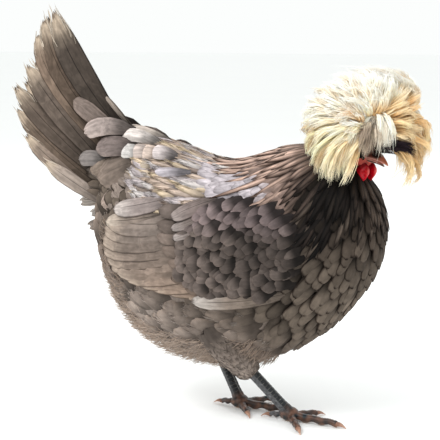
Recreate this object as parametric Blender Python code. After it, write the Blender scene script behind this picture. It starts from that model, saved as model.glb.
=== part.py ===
"""A Polish crested hen, life size, standing on the floor with its right foot a step ahead.

+X is the way the body faces, +Y its left side and +Z up. The origin is the middle of the whole
bird's box, on the floor. Sizes are in millimetres until new_object puts them into metres.
"""
import math

import bmesh
import bpy
import numpy as np
from mathutils import Matrix, Vector
from mathutils.bvhtree import BVHTree

MM = 0.001
GAP = 0.35  # kept between two nodes that touch
SHARP_ANGLE = math.radians(40)  # edges sharper than this stay sharp when shaded

# The body as one bent tube. Each row is one cut through it, from throat to tail:
# back (x, z), belly (x, z) and half the width.
BODY_CUTS = (
    (104, 275, 147, 245, 21),
    (84, 273, 156, 232, 31),
    (64, 267, 163, 214, 39),
    (44, 260, 166, 191, 49),
    (24, 254, 162, 161, 60),
    (5, 253, 143, 125, 68),
    (-15, 259, 105, 85, 72),
    (-36, 266, 55, 57, 72),
    (-57, 271, 0, 50, 69),
    (-75, 273, -54, 60, 60),
    (-89, 271, -98, 92, 47),
    (-99, 267, -119, 135, 34),
    (-107, 261, -123, 178, 23),
    (-113, 254, -125, 203, 14),
)
BODY_SIDES = 24
LOW_WIDER = 0.1  # how much wider the body is below its middle than above
RINGS_PER_CUT = 1.7
LAST_CUT = len(BODY_CUTS) - 1
CUT_GAP = 0.025  # the thin cut between two nodes, counted in body cuts
# Where each trunk node starts and ends, counted in body cuts
TRUNK = {"neck": (0, 3.5 - CUT_GAP), "torso": (3.5, 10 - CUT_GAP), "rump": (10, LAST_CUT)}

# The head, in its own frame: x to the bill, z up. It is turned to the bird's right and tipped down.
HEAD_PLACE = (133, -2, 270)
HEAD_TURN, HEAD_TIP = math.radians(-22), math.radians(8)
# Lumps of the head: place, half sizes
SKULL = ((0, 0, 1), (24, 15, 17.5))
CHEEK = ((9, 0, -8), (14, 12.5, 10))
EYE_RADIUS = 5.2
EYE_PLACE = (8.5, 11.0, 3.0)
LID_THICK = 1.6
BILL_ROOT, BILL_LENGTH, BILL_WIDTH = (17, 0, -4.5), 25, 13
UPPER_HEIGHT, LOWER_HEIGHT, HOOK = 8.5, 4.0, 4.5
LOWER_SHARE, MOUTH_OPENS = 0.86, 0.4  # the lower half's length to the upper one's, and the gape at the tip
NOSTRIL = ((27, 4.1, -0.2), (2.6, 1.5, 1.1))
WATTLE_PLACE, WATTLE_SIZE = (20, 6.5, -20), (13, 4.5, 19)

# The crest: locks from a core on the skull out to an egg of tips. Angles are in the head's own frame.
CREST_MIDDLE, CREST_REACH = (144, -2, 290), (62, 54, 61)
CREST_CORE = ((4, 0, 20), (30, 25, 26))
CREST_LOCKS, CREST_SPREAD = 54, 87
LOCK_WIDTH, LOCK_THICK, LOCK_RISE = 20, 5.5, 0.24
# How low the tips hang (degrees of elevation) against their way round the head, 0 ahead and + to the left
CREST_HEM = (
    (-180, -6), (-158, -12), (-142, -46), (-112, -46), (-102, 4), (-24, 8), (2, 4), (12, -46),
    (34, -50), (46, -8), (106, -10), (116, -44), (142, -46), (158, -12), (180, -6),
)

# Neck feathers: each row starts at a body cut, runs on for some cuts and covers the neck to an angle
HACKLE_ROWS = ((0.4, 1.7, 145), (1.5, 1.8, 130), (2.6, 1.85, 108))
HACKLE_EACH_ROW, HACKLE_WIDTH, HACKLE_THICK = 10, 18, 1.8
HACKLE_HEIGHTS = (-1, 2, 4.8)  # above the neck, at a feather's root, middle and tip

# The tail stands like a roof: root and tip (x, z) of its first feather, on the ridge, to its last
TAIL_ROOTS = ((-104, 266), (-124, 224))
TAIL_TIPS = ((-185, 402), (-197, 379), (-211, 351), (-219, 328), (-215, 303), (-210, 275), (-195, 243))
TAIL_RIDGE, TAIL_SPREAD = 4, 24  # how far from the middle plane the first and last tips are
TAIL_WIDTH, TAIL_THICK, TAIL_LEAN = 33, 2.4, math.radians(20)
TAIL_CORE = ((-116, 0, 246), (17, 10, 38), math.radians(22))
# Covers of the tail, for each side: root (x, y, z) and tip (x, y, z)
TAIL_COVERS = (
    ((-84, 8, 264), (-122, 7, 318)), ((-90, 20, 258), (-141, 15, 298)), ((-92, 24, 247), (-147, 21, 271)),
    ((-96, 24, 230), (-147, 25, 244)), ((-102, 22, 212), (-141, 27, 210)), ((-104, 22, 196), (-133, 24, 184)),
    ((-80, 22, 262), (-131, 22, 285)), ((-83, 30, 246), (-130, 29, 256)), ((-90, 30, 226), (-125, 31, 228)),
)
COVER_WIDTH, COVER_THICK, COVER_BOW = 25, 2.6, 4

# The folded wing: a core on the flank, then long feathers and covers. Places are (x, z).
WING_FRONT, WING_BACK = 88, -52
WING_CORE_THICK = 6.5
# Long feathers, the topmost first, from wrist side to tips; each lower one lies under the one above
WING_LONG_TIPS = ((-78, 227), (-91, 209), (-96, 191), (-94, 174), (-87, 159), (-71, 146), (-46, 137), (-8, 134))
WING_LONG_ROOTS = ((0, 210), (40, 148))
WING_LONG_WIDTH, WING_LONG_THICK, WING_LONG_TILT = 24, 1.8, 0.2
WING_HEIGHTS = (9.5, 4.5)  # above the flank, of the topmost and the lowest long feather's tip
WING_HEM = ((92, 142), (4, 127))  # the lone long feather along the wing's lower edge
# Rows of covers: x of the tips at top and bottom, length, feathers in the row, height above the flank
# and how far the row stops short of the wing's upper and lower edge
WING_COVERS = ((-34, -14, 52, 4, 11.5, 0, 0), (-4, 12, 46, 4, 11.8, 0, 0), (26, 40, 42, 4, 11, 4, 3))
WING_COVER_WIDTH, WING_COVER_THICK, WING_COVER_TILT = 24, 2, 0.19
WING_TOP, WING_LOW = 216, 140

# Each foot's middle on the floor, the heading of its middle toe in degrees, and its hock
LEGS = {
    "right": {"foot": (79, -22), "heading": -11, "hock": (22, -27, 66)},
    "left": {"foot": (20, 5), "heading": -8, "hock": (-21, 25, 77)},
}
SHANK_RADIUS, CUFF_HEIGHT, TOE_LIFT = 5.6, 47, 4.6
FOOT_BALL = (9.5, 9, 7.5)
# Toes: name, angle towards the outside of the foot in degrees, length, radius at the root
TOES = (("middle", 0, 50, 4.8), ("inner", -52, 30, 4.2), ("outer", 53, 37, 4.2), ("hind", 176, 21, 3.9))
TOE_TAPER = 0.72
CLAW_LENGTH = 11
SOLE = 0.9  # how far the undersides of toes and claws are cut flat

MATERIALS = {
    "plumage": ((0.20, 0.175, 0.165), 0.85),
    "hackle": ((0.10, 0.085, 0.08), 0.8),
    "crest": ((0.80, 0.70, 0.52), 0.9),
    "tail": ((0.16, 0.14, 0.125), 0.75),
    "face": ((0.42, 0.10, 0.08), 0.6),
    "wattle": ((0.60, 0.02, 0.03), 0.45),
    "bill": ((0.06, 0.05, 0.045), 0.4),
    "eye": ((0.05, 0.02, 0.01), 0.1),
    "leg": ((0.07, 0.08, 0.085), 0.5),
    "claw": ((0.35, 0.2, 0.12), 0.4),
}


def clear_scene():
    for old in list(bpy.data.objects):
        bpy.data.objects.remove(old)


def material(name):
    made = bpy.data.materials.get(name)
    if made is None:
        colour, roughness = MATERIALS[name]
        made = bpy.data.materials.new(name)
        made.use_nodes = True
        shader = made.node_tree.nodes["Principled BSDF"]
        shader.inputs["Base Color"].default_value = (*colour, 1)
        shader.inputs["Roughness"].default_value = roughness
    return made


def collection(name):
    made = bpy.data.collections.get(name)
    if made is None:
        made = bpy.data.collections.new(name)
        bpy.context.scene.collection.children.link(made)
    return made


def new_object(name, shape, finish, group="Hen"):
    """A mesh object from points in millimetres and faces, turned to point out."""
    points, faces = shape
    mesh = bpy.data.meshes.new(name)
    mesh.from_pydata((np.asarray(points) * MM).tolist(), [], [tuple(map(int, face)) for face in faces])
    work = bmesh.new()
    work.from_mesh(mesh)
    bmesh.ops.recalc_face_normals(work, faces=work.faces)
    work.to_mesh(mesh)
    work.free()
    mesh.materials.append(material(finish))
    made = bpy.data.objects.new(name, mesh)
    collection(group).objects.link(made)
    return made


def spline(rows, at):
    """Values at places along a table, on a smooth curve through its rows (Catmull-Rom)."""
    rows = np.asarray(rows, float)
    at = np.clip(np.asarray(at, float), 0, len(rows) - 1)
    low = np.minimum(at.astype(int), len(rows) - 2)
    share = (at - low)[..., None]
    before, after = rows[np.maximum(low - 1, 0)], rows[np.minimum(low + 2, len(rows) - 1)]
    start, end = rows[low], rows[low + 1]
    return (
        start * (1 + 2 * share) * (1 - share) ** 2
        + end * share**2 * (3 - 2 * share)
        + (end - before) / 2 * share * (1 - share) ** 2
        - (after - start) / 2 * share**2 * (1 - share)
    )


def body_points(cuts, angles, grow=0.0):
    """Points of the body at a count of cuts and an angle round it, 0 at the back and pi at the belly."""
    cuts, angles = np.broadcast_arrays(np.asarray(cuts, float), np.asarray(angles, float))
    row = spline(BODY_CUTS, cuts)
    back, belly, width = row[..., 0:2], row[..., 2:4], row[..., 4]
    middle, half = (back + belly) / 2, (back - belly) / 2
    height = np.linalg.norm(half, axis=-1)
    flat = middle + half / height[..., None] * (np.cos(angles) * (height + grow))[..., None]
    side = np.sin(angles) * (width * (1 - LOW_WIDER * np.cos(angles)) + grow)
    return np.stack([flat[..., 0], side, flat[..., 1]], -1)


def tube(rings):
    """Points and faces of a closed tube through rings of points, each end closed on its middle."""
    rings = np.asarray(rings, float)
    count, sides = rings.shape[:2]
    points = np.concatenate([rings.reshape(-1, 3), [rings[0].mean(0), rings[-1].mean(0)]])
    first, last = count * sides, count * sides + 1
    faces = []
    for j in range(sides):
        k = (j + 1) % sides
        for low in range(0, (count - 1) * sides, sides):
            faces.append((low + j, low + k, low + sides + k))
            faces.append((low + j, low + sides + k, low + sides + j))
        faces.append((first, k, j))
        faces.append((last, (count - 1) * sides + j, (count - 1) * sides + k))
    return points, faces


def stations(node):
    start, end = TRUNK[node]
    return np.linspace(start, end, int((end - start) * RINGS_PER_CUT) + 2)


def body_tube(cuts, grow=0.0):
    angles = np.linspace(0, 2 * math.pi, BODY_SIDES, endpoint=False)
    return tube(body_points(cuts[:, None], angles[None, :], grow))


def trunk_shape(grow=0.0):
    """The whole trunk as one, larger all round where it is to cut what lies on it."""
    return body_tube(np.concatenate([stations(node) for node in TRUNK]), grow)


def ellipsoid(centre, half_sizes, turn=np.eye(3), sides=16, rings=9):
    """Points and faces of a sphere drawn out to an ellipsoid, its poles on the x axis."""
    work = bmesh.new()
    quarter = Matrix.Rotation(math.pi / 2, 4, "Y")
    bmesh.ops.create_uvsphere(work, u_segments=sides, v_segments=rings, radius=1, matrix=quarter)
    bmesh.ops.triangulate(work, faces=work.faces)
    work.verts.index_update()
    points = np.array([vert.co for vert in work.verts])
    faces = [tuple(vert.index for vert in face.verts) for face in work.faces]
    work.free()
    return (points * half_sizes) @ np.asarray(turn).T + centre, faces


def head_axes():
    """The head's own axes as the columns of a matrix."""
    return np.array(Matrix.Rotation(HEAD_TURN, 3, "Z") @ Matrix.Rotation(HEAD_TIP, 3, "Y"))


def on_head(place):
    return np.asarray(HEAD_PLACE) + np.asarray(place, float) @ head_axes().T


def head_lump(place, half_sizes, grow=0.0, sides=16, rings=10):
    return ellipsoid(on_head(place), np.asarray(half_sizes) + grow, head_axes(), sides, rings)


def boolean(source, operation, other, solver="EXACT"):
    """Applies a Boolean with an object or a collection, and removes what it used."""
    modifier = source.modifiers.new(operation, "BOOLEAN")
    modifier.operation = operation
    modifier.solver = solver
    if isinstance(other, bpy.types.Collection):
        modifier.operand_type = "COLLECTION"
        modifier.collection = other
        used = list(other.objects)
    else:
        modifier.object = other
        used = [other]
    graph = bpy.context.evaluated_depsgraph_get()
    made = bpy.data.meshes.new_from_object(source.evaluated_get(graph))
    source.modifiers.clear()
    source.data = made
    for piece in used:
        bpy.data.objects.remove(piece)
    return keep_largest(source)


def shell_volume(faces):
    """Six times the volume inside a closed set of faces."""
    total = 0.0
    for face in faces:
        first = face.verts[0].co
        for one, two in zip(face.verts[1:-1], face.verts[2:]):
            total += first.dot(one.co.cross(two.co))
    return abs(total)


def keep_largest(source):
    """Leaves only the closed surface that holds the most."""
    work = bmesh.new()
    work.from_mesh(source.data)
    bmesh.ops.remove_doubles(work, verts=work.verts, dist=1e-7)
    left, shells = set(work.faces), []
    while left:
        seed = left.pop()
        shell, edge = [], [seed]
        while edge:
            face = edge.pop()
            shell.append(face)
            for near in {f for e in face.edges for f in e.link_faces} & left:
                left.discard(near)
                edge.append(near)
        shells.append(shell)
    best = max(shells, key=shell_volume)
    bmesh.ops.delete(work, geom=[f for s in shells if s is not best for f in s], context="FACES")
    bmesh.ops.delete(work, geom=[v for v in work.verts if not v.link_faces], context="VERTS")
    work.to_mesh(source.data)
    work.free()
    return source


def slice_off(source, place, normal):
    """Cuts away what lies beyond a plane, and closes the cut."""
    work = bmesh.new()
    work.from_mesh(source.data)
    cut = bmesh.ops.bisect_plane(
        work,
        geom=list(work.verts) + list(work.edges) + list(work.faces),
        dist=1e-7,
        plane_co=Vector(np.asarray(place, float) * MM),
        plane_no=Vector(normal),
        clear_outer=True,
    )
    rim = [e for e in cut["geom_cut"] if isinstance(e, bmesh.types.BMEdge)]
    bmesh.ops.triangle_fill(work, use_beauty=True, edges=rim, normal=Vector(normal))
    bmesh.ops.recalc_face_normals(work, faces=work.faces)
    work.to_mesh(source.data)
    work.free()
    return source


def joined(name, shapes, finish, solver="MANIFOLD"):
    """One closed solid from several shapes that overlap."""
    first = new_object(name, shapes[0], finish)
    for number, shape in enumerate(shapes[1:]):
        new_object(f"{name}_piece_{number}", shape, finish, f"{name}_pieces")
    return boolean(first, "UNION", collection(f"{name}_pieces"), solver)


def cut(source, name, shapes):
    """Takes several shapes away from a solid."""
    for number, shape in enumerate(shapes):
        new_object(f"{name}_{number}", shape, "plumage", name)
    return boolean(source, "DIFFERENCE", collection(name), "MANIFOLD")


def slab(outer, inner):
    """Points and faces of a thin solid between two grids of points, cut alike on both sides."""
    rows, columns = outer.shape[:2]
    points = np.concatenate([outer.reshape(-1, 3), inner.reshape(-1, 3)])
    back = rows * columns
    faces = []
    for i in range(rows - 1):
        for j in range(columns - 1):
            a = i * columns + j
            b, c, d = a + 1, a + columns + 1, a + columns
            faces += [(a, b, c), (a, c, d), (back + a, back + c, back + b), (back + a, back + d, back + c)]
    rim = list(range(columns)) + [i * columns + columns - 1 for i in range(1, rows)]
    rim += [(rows - 1) * columns + j for j in range(columns - 2, -1, -1)]
    rim += [i * columns for i in range(rows - 2, 0, -1)]
    for a, b in zip(rim, rim[1:] + rim[:1]):
        faces += [(a, b, back + b), (a, back + b, back + a)]
    return points, faces


def unit(vector):
    return np.asarray(vector, float) / np.linalg.norm(vector)


def feather(root, tip, face, width, thick, bow=0.0, ridge=False, grow=0.0):
    """A feather: a thin blade that narrows at its root and ends round.

    face is the way its flat side looks. bow is how far its middle arches that way. A ridge along
    its middle stands for the shaft.
    """
    root, tip = np.asarray(root, float), np.asarray(tip, float)
    shares = np.array([0, 0.5, 0.85, 1])
    spans = np.array([0.6, 1, 0.84, 0.36])
    side = unit(np.cross(tip - root, face))
    face = unit(np.cross(side, tip - root))
    ends = unit(tip - root) * grow
    line = (root - ends) + shares[:, None] * (tip - root + 2 * ends)
    line = line + (4 * bow * shares * (1 - shares))[:, None] * face
    columns = np.array([-1, 0, 1]) if ridge else np.array([-1, 1])
    across = (spans * width / 2 + grow)[:, None, None] * columns[None, :, None] * side
    deep = np.where(columns == 0, thick / 2, min(thick / 2, 0.55) if ridge else thick / 2) + grow
    deep = deep[None, :, None] * face
    return slab(line[:, None] + across + deep, line[:, None] + across - deep)


def lock(root, bend, tip, face, width, thick, grow=0.0):
    """A tapered lock that leaves its root towards one point and bends over to its tip."""
    root, bend, tip = (np.asarray(place, float) for place in (root, bend, tip))
    shares = np.array([0, 0.4, 0.75, 1])[:, None]
    line = root * (1 - shares) ** 2 + 2 * bend * shares * (1 - shares) + tip * shares**2
    ahead = 2 * (1 - shares) * (bend - root) + 2 * shares * (tip - bend)
    side = np.cross(ahead, face)
    side /= np.linalg.norm(side, axis=1)[:, None]
    out = np.cross(side, ahead)
    out /= np.linalg.norm(out, axis=1)[:, None]
    wide = np.array([0.5, 1, 0.9, 0.24])[:, None, None] * width / 2 + grow
    deep = np.array([0.9, 1, 0.8, 0.3])[:, None, None] * thick / 2 + grow
    turns = np.array([(1, 0), (0, 1), (-1, 0), (0, -1)])
    return tube(line[:, None] + side[:, None] * turns[None, :, :1] * wide + out[:, None] * turns[None, :, 1:] * deep)


def limb(path, radii, sides=10, squash=1.0, heading=None):
    """A tube with its own radius at each point of a path. squash is height to width.

    The rings stand square to the path, or all square to a heading.
    """
    path = np.asarray(path, float)
    ahead = np.gradient(path, axis=0) if heading is None else np.tile(heading, (len(path), 1))
    ahead /= np.linalg.norm(ahead, axis=1)[:, None]
    side = np.cross(ahead, (0, 0, 1.0))
    side /= np.linalg.norm(side, axis=1)[:, None]
    up = np.cross(side, ahead)
    angles = np.linspace(0, 2 * math.pi, sides, endpoint=False)[None, :, None]
    spread = np.cos(angles) * side[:, None] + np.sin(angles) * up[:, None] * squash
    return tube(path[:, None] + spread * np.asarray(radii, float)[:, None, None])


def surface_tree(source):
    work = bmesh.new()
    work.from_mesh(source.data)
    tree = BVHTree.FromBMesh(work)
    work.free()
    return tree


def flank(tree, x, z, side):
    """How far out from the middle plane the trunk is, seen from that side."""
    found = tree.ray_cast(Vector((x * MM, side * 0.3, z * MM)), Vector((0, -side, 0)))
    return abs(found[0].y) / MM if found[0] else 12.0


def hackle(grow=0.0):
    """The neck's long feathers, in rows that overlap like tiles. grow makes copies to cut with."""
    shapes = []
    for row, (start, length, reach) in enumerate(HACKLE_ROWS):
        shift = 0.5 * (row % 2)
        for number in range(HACKLE_EACH_ROW):
            angle = math.radians(reach) * (2 * (number + shift) / (HACKLE_EACH_ROW - 1 + 0.5) - 1)
            end = start + length * (1 - 0.3 * abs(angle) / math.pi)
            root, middle, tip = (
                body_points(place, angle, height)
                for place, height in zip((start, (start + end) / 2, end), HACKLE_HEIGHTS)
            )
            face = unit(body_points((start + end) / 2, angle, 9.0) - middle)
            bow = (middle - (root + tip) / 2) @ face
            shapes.append(feather(root, tip, face, HACKLE_WIDTH, HACKLE_THICK, bow, grow=grow))
    return shapes


def tail_covers(grow=0.0):
    shapes = []
    for side in (-1, 1):
        for root, tip in TAIL_COVERS:
            root, tip = np.array(root, float) * (1, side, 1), np.array(tip, float) * (1, side, 1)
            face = (0.1, side * 0.9, 0.35)
            shapes.append(feather(root, tip, face, COVER_WIDTH, COVER_THICK, COVER_BOW, grow=grow))
    return shapes


def make_trunk():
    joined("neck", [body_tube(stations("neck")), *hackle()], "hackle")
    new_object("torso", body_tube(stations("torso")), "plumage")
    joined("rump", [body_tube(stations("rump")), *tail_covers()], "plumage")
    rest = np.concatenate([stations("torso"), stations("rump")])
    cut(bpy.data.objects["neck"], "torso cutter", [body_tube(rest, GAP)])
    cut(bpy.data.objects["rump"], "torso cutter", [body_tube(stations("torso"), GAP)])


def throat_plane():
    """The place and the upward normal of the plane that parts head and neck."""
    ends = body_points(0, np.array([0.0, math.pi]))
    along = ends[1] - ends[0]
    normal = np.cross((0, 1, 0), along / np.linalg.norm(along))
    return ends.mean(0), normal * np.sign(normal[2])


def head_shapes(grow=0.0):
    """Skull, cheeks and the swelling of the lids round each eye."""
    shapes = [head_lump(*SKULL, grow), head_lump(*CHEEK, grow, 12, 7)]
    for side in (-1, 1):
        shapes.append(head_lump(np.array(EYE_PLACE) * (1, side, 1), (EYE_RADIUS + LID_THICK,) * 3, grow, 12, 7))
    return shapes


def make_head():
    turn = head_axes()
    skull = joined("head", head_shapes(), "face")
    place, normal = throat_plane()
    slice_off(skull, place + normal * GAP, -normal)
    for side, name in ((-1, "eye_right"), (1, "eye_left")):
        eye = on_head(np.array(EYE_PLACE) * (1, side, 1))
        slice_off(skull, eye + turn[:, 1] * side * EYE_RADIUS * 0.62, turn[:, 1] * side)
        socket = new_object("socket", ellipsoid(eye, (EYE_RADIUS + GAP,) * 3, turn, 12, 8), "face", "Cutters")
        boolean(skull, "DIFFERENCE", socket)
        new_object(name, ellipsoid(eye, (EYE_RADIUS,) * 3, turn, 12, 8), "eye")
    return skull


def bill_half(upper):
    """One half of the bill, a tapered half tube that hooks down at its tip."""
    height, length = (UPPER_HEIGHT, BILL_LENGTH) if upper else (LOWER_HEIGHT, BILL_LENGTH * LOWER_SHARE)
    rings = []
    for share in np.linspace(0, 1, 7):
        across = np.linspace(0, math.pi, 7)
        taper = 1 - 0.88 * share**1.5
        rise = np.sin(across) * height * taper * (1 if upper else -1)
        bend = -HOOK * share**2.4
        ring = np.stack(
            [0 * across + share * length, np.cos(across) * BILL_WIDTH / 2 * taper, rise + bend], -1
        )
        ring[:, 2] -= 0 if upper else GAP + MOUTH_OPENS * share
        rings.append(ring + BILL_ROOT)
    points, faces = tube(rings)
    return points @ head_axes().T + HEAD_PLACE, faces


def make_bill():
    for name, upper in (("bill_upper", True), ("bill_lower", False)):
        cut(new_object(name, bill_half(upper), "bill"), "head cutter", head_shapes(GAP))
    place, half_sizes = NOSTRIL
    nostrils = [head_lump(np.array(place) * (1, side, 1), half_sizes, sides=10, rings=6) for side in (-1, 1)]
    cut(bpy.data.objects["bill_upper"], "nostril cutter", nostrils)


def make_wattles():
    for side, name in ((-1, "wattle_right"), (1, "wattle_left")):
        place = np.array(WATTLE_PLACE) * (1, side, 1)
        lobe = new_object(name, head_lump(place, np.array(WATTLE_SIZE) / 2, sides=12, rings=8), "wattle")
        cut(lobe, "head cutter", head_shapes(GAP))
        cut(lobe, "trunk cutter", [trunk_shape(GAP), *hackle(GAP)])


def crest_locks(grow=0.0):
    """The crest's locks: spread evenly over the part of the egg that lies above the hem."""
    turn = head_axes()
    hem_turns, hem_heights = np.array(CREST_HEM).T
    shapes = []
    number, golden = 0, math.pi * (3 - math.sqrt(5))
    draw = np.random.default_rng(5)
    while len(shapes) < CREST_LOCKS:
        height = 1 - 1.9 * (number + 0.5) / CREST_SPREAD
        round_head = (number * golden + math.pi) % (2 * math.pi) - math.pi
        number += 1
        if math.degrees(math.asin(max(-1.0, height))) < np.interp(math.degrees(round_head), hem_turns, hem_heights):
            continue
        level = math.sqrt(1 - height**2)
        way = np.array([math.cos(round_head) * level, math.sin(round_head) * level, height])
        tip = CREST_MIDDLE + turn @ (way * CREST_REACH * draw.uniform(0.93, 1.05))
        inner = on_head(np.array(CREST_CORE[0]) + way * np.array(CREST_CORE[1]) * 0.55)
        span = np.linalg.norm(tip - inner)
        bend = inner + (tip - inner) * 0.5 + turn[:, 2] * span * LOCK_RISE * level
        face = unit(way @ turn.T + (0, 0, 1.2))
        shapes.append(lock(inner, bend, tip, face, LOCK_WIDTH, LOCK_THICK, grow))
    return shapes


def make_crest():
    crest = joined("crest", [head_lump(*CREST_CORE, sides=16, rings=9), *crest_locks()], "crest")
    bill_room = head_lump(np.array(BILL_ROOT) + (12, 0, -1), (17, 8, 9), GAP, 10, 6)
    cut(crest, "head cutter", [*head_shapes(GAP), bill_room])
    cut(crest, "trunk cutter", [trunk_shape(GAP), *hackle(GAP)])


def on_flank(tree, side, x, z, height):
    return np.array([x, side * (flank(tree, x, z, side) + height), z])


def laid_feather(tree, side, root, tip, heights, width, thick, tilt):
    """A feather on the flank from root to tip (x, z), at a height above the flank at each end.

    Its tilt tucks its upper edge under the feather above it.
    """
    spots = [
        on_flank(tree, side, *((1 - share) * np.array(root) + share * np.array(tip)), height)
        for share, height in ((0, heights[0]), (0.5, sum(heights) / 2), (1, heights[1]))
    ]
    middle = (np.array(root) + tip) / 2
    step = 6
    rise = on_flank(tree, side, middle[0], middle[1] + step, 0) - on_flank(tree, side, middle[0], middle[1] - step, 0)
    run = on_flank(tree, side, middle[0] + step, middle[1], 0) - on_flank(tree, side, middle[0] - step, middle[1], 0)
    face = unit(np.cross(rise, run) * -side) + (0, 0, tilt)
    bow = (spots[1] - (spots[0] + spots[2]) / 2) @ face
    return feather(spots[0], spots[2], face, width, thick, bow)


def wing_core(tree, side):
    """The flesh of the folded wing: a slab with rounded ends that lies on the flank."""
    rows, columns = 7, 10
    outer, inner = np.zeros((rows, columns, 3)), np.zeros((rows, columns, 3))
    for j, along in enumerate(np.linspace(0, 1, columns)):
        x = WING_FRONT + (WING_BACK - WING_FRONT) * along
        swell = math.sqrt(1.02 - abs(2 * along - 1) ** 3)
        middle = (WING_TOP + WING_LOW) / 2 - 8 * (1 - swell)
        half = (WING_TOP - WING_LOW) / 2 * (0.3 + 0.7 * swell)
        for i, rise in enumerate(np.linspace(-1, 1, rows)):
            z = middle + half * rise
            thick = 1.5 + (WING_CORE_THICK - 1.5) * math.sqrt(1 - rise**4) * swell
            outer[i, j] = on_flank(tree, side, x, z, thick)
            inner[i, j] = on_flank(tree, side, x, z, -1.5)
    return slab(outer, inner)


def wing_feathers(tree, side):
    shapes = []
    count = len(WING_LONG_TIPS)
    for number, tip in enumerate(WING_LONG_TIPS):
        share = number / (count - 1)
        root = np.array(WING_LONG_ROOTS[0]) * (1 - share) + np.array(WING_LONG_ROOTS[1]) * share
        high = WING_HEIGHTS[0] * (1 - share) + WING_HEIGHTS[1] * share
        heights = (WING_CORE_THICK - 2.5, high)
        shapes.append(laid_feather(tree, side, root, tip, heights, WING_LONG_WIDTH, WING_LONG_THICK, WING_LONG_TILT))
    shapes.append(laid_feather(tree, side, *WING_HEM, (3.5, 4.5), 17, WING_LONG_THICK, 0))
    for top_x, low_x, length, count, height, below_top, above_low in WING_COVERS:
        for number in range(count):
            share = (number + 0.5) / count
            z = (WING_TOP + 2 - below_top) * (1 - share) + (WING_LOW + 6 + above_low) * share
            tip = (top_x + (low_x - top_x) * share, z)
            root = (tip[0] + length, z + 3 - 12 * (share - 0.3))
            heights = (WING_CORE_THICK - 3, height * (1 - 0.25 * share))
            size = (WING_COVER_WIDTH, WING_COVER_THICK, WING_COVER_TILT)
            shapes.append(laid_feather(tree, side, root, tip, heights, *size))
    return shapes


def make_wing(tree, side):
    name = "wing_right" if side < 0 else "wing_left"
    wing = joined(name, [wing_core(tree, side), *wing_feathers(tree, side)], "plumage")
    cut(wing, "trunk cutter", [trunk_shape(GAP), *hackle(GAP), *tail_covers(GAP)])


def tail_feathers():
    """Seven feathers on each side, the ridge pair first, each lower one tucked under the one above."""
    shapes = []
    for side in (-1, 1):
        for number, tip in enumerate(TAIL_TIPS):
            share = number / (len(TAIL_TIPS) - 1)
            root = np.array(TAIL_ROOTS[0]) * (1 - share) + np.array(TAIL_ROOTS[1]) * share
            start = (root[0], side * (2 + 5 * share), root[1])
            end = (tip[0], side * (TAIL_RIDGE + (TAIL_SPREAD - TAIL_RIDGE) * share), tip[1])
            face = (0.35 * math.sin(TAIL_LEAN), side * math.cos(TAIL_LEAN), math.sin(TAIL_LEAN))
            shapes.append(feather(start, end, face, TAIL_WIDTH, TAIL_THICK, 3, True))
    return shapes


def make_tail():
    place, half_sizes, lean = TAIL_CORE
    turn = np.array(Matrix.Rotation(-lean, 3, "Y"))
    core = ellipsoid(place, half_sizes, turn, 14, 9)
    tail = joined("tail", [core, *tail_feathers()], "tail")
    cut(tail, "trunk cutter", [trunk_shape(GAP), *tail_covers(GAP)])


def toe_path(foot, heading, reach):
    """Points along a toe from the foot's ball to the claw, over its joints."""
    ahead = np.array([math.cos(heading), math.sin(heading), 0])
    shares = np.linspace(0, 1, 7)
    lift = TOE_LIFT + 1.2 * np.sin(shares * 3 * math.pi) ** 2 - 1.3 * shares
    return foot * (1, 1, 0) + shares[:, None] * reach * ahead + lift[:, None] * (0, 0, 1)


def make_leg(side_name):
    """Thigh, shank, foot and claws of one leg."""
    plan = LEGS[side_name]
    outward = -1 if side_name == "right" else 1
    foot = np.array([*plan["foot"], FOOT_BALL[2] - SOLE])
    along = np.array(plan["hock"], float) - foot
    along /= np.linalg.norm(along)
    cuff = foot + along * (CUFF_HEIGHT - foot[2]) / along[2]
    knee = cuff + along * 46 + np.array([2, outward * 12, 8])
    thigh_path = [cuff + along * GAP, cuff + along * 5, cuff + along * 16, knee]
    thigh = new_object(f"thigh_{side_name}", limb(thigh_path, (7.2, 11, 18, 22), 14), "plumage")
    cut(thigh, "trunk cutter", [trunk_shape(GAP)])
    ankle = foot + along * 7
    shank_path = [ankle + (cuff - ankle) * t for t in np.linspace(0, 1, 5)]
    new_object(f"shank_{side_name}", limb(shank_path, np.full(5, SHANK_RADIUS), 12), "leg")
    shapes = [ellipsoid(foot, FOOT_BALL, sides=12, rings=7)]
    for toe, spread, length, radius in TOES:
        heading = math.radians(plan["heading"] + outward * spread)
        path = toe_path(foot, heading, length)
        shares = np.linspace(0, 1, len(path))
        radii = radius * (1 - (1 - TOE_TAPER) * shares) * (1 + 0.08 * np.cos(shares * 6 * math.pi))
        ahead = np.array([math.cos(heading), math.sin(heading), 0])
        shapes.append(limb(path, radii, 8, 0.92, ahead))
        start = path[-1] + ahead * GAP
        shares = np.linspace(0, 1, 4)
        drop = (start[2] - 0.6) * shares**1.6
        claw_path = start + shares[:, None] * CLAW_LENGTH * ahead - drop[:, None] * (0, 0, 1)
        claw = new_object(f"claw_{side_name}_{toe}", limb(claw_path, radius * (0.66 - 0.52 * shares), 6, 1, ahead), "claw")
        slice_off(claw, (0, 0, 0), (0, 0, -1))
    made = joined(f"foot_{side_name}", shapes, "leg")
    socket = [ankle - along * GAP, ankle + along * 2 * SHANK_RADIUS]
    cut(made, "shank cutter", [limb(socket, np.full(2, SHANK_RADIUS + GAP), 12)])
    slice_off(made, (0, 0, 0), (0, 0, -1))


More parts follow.
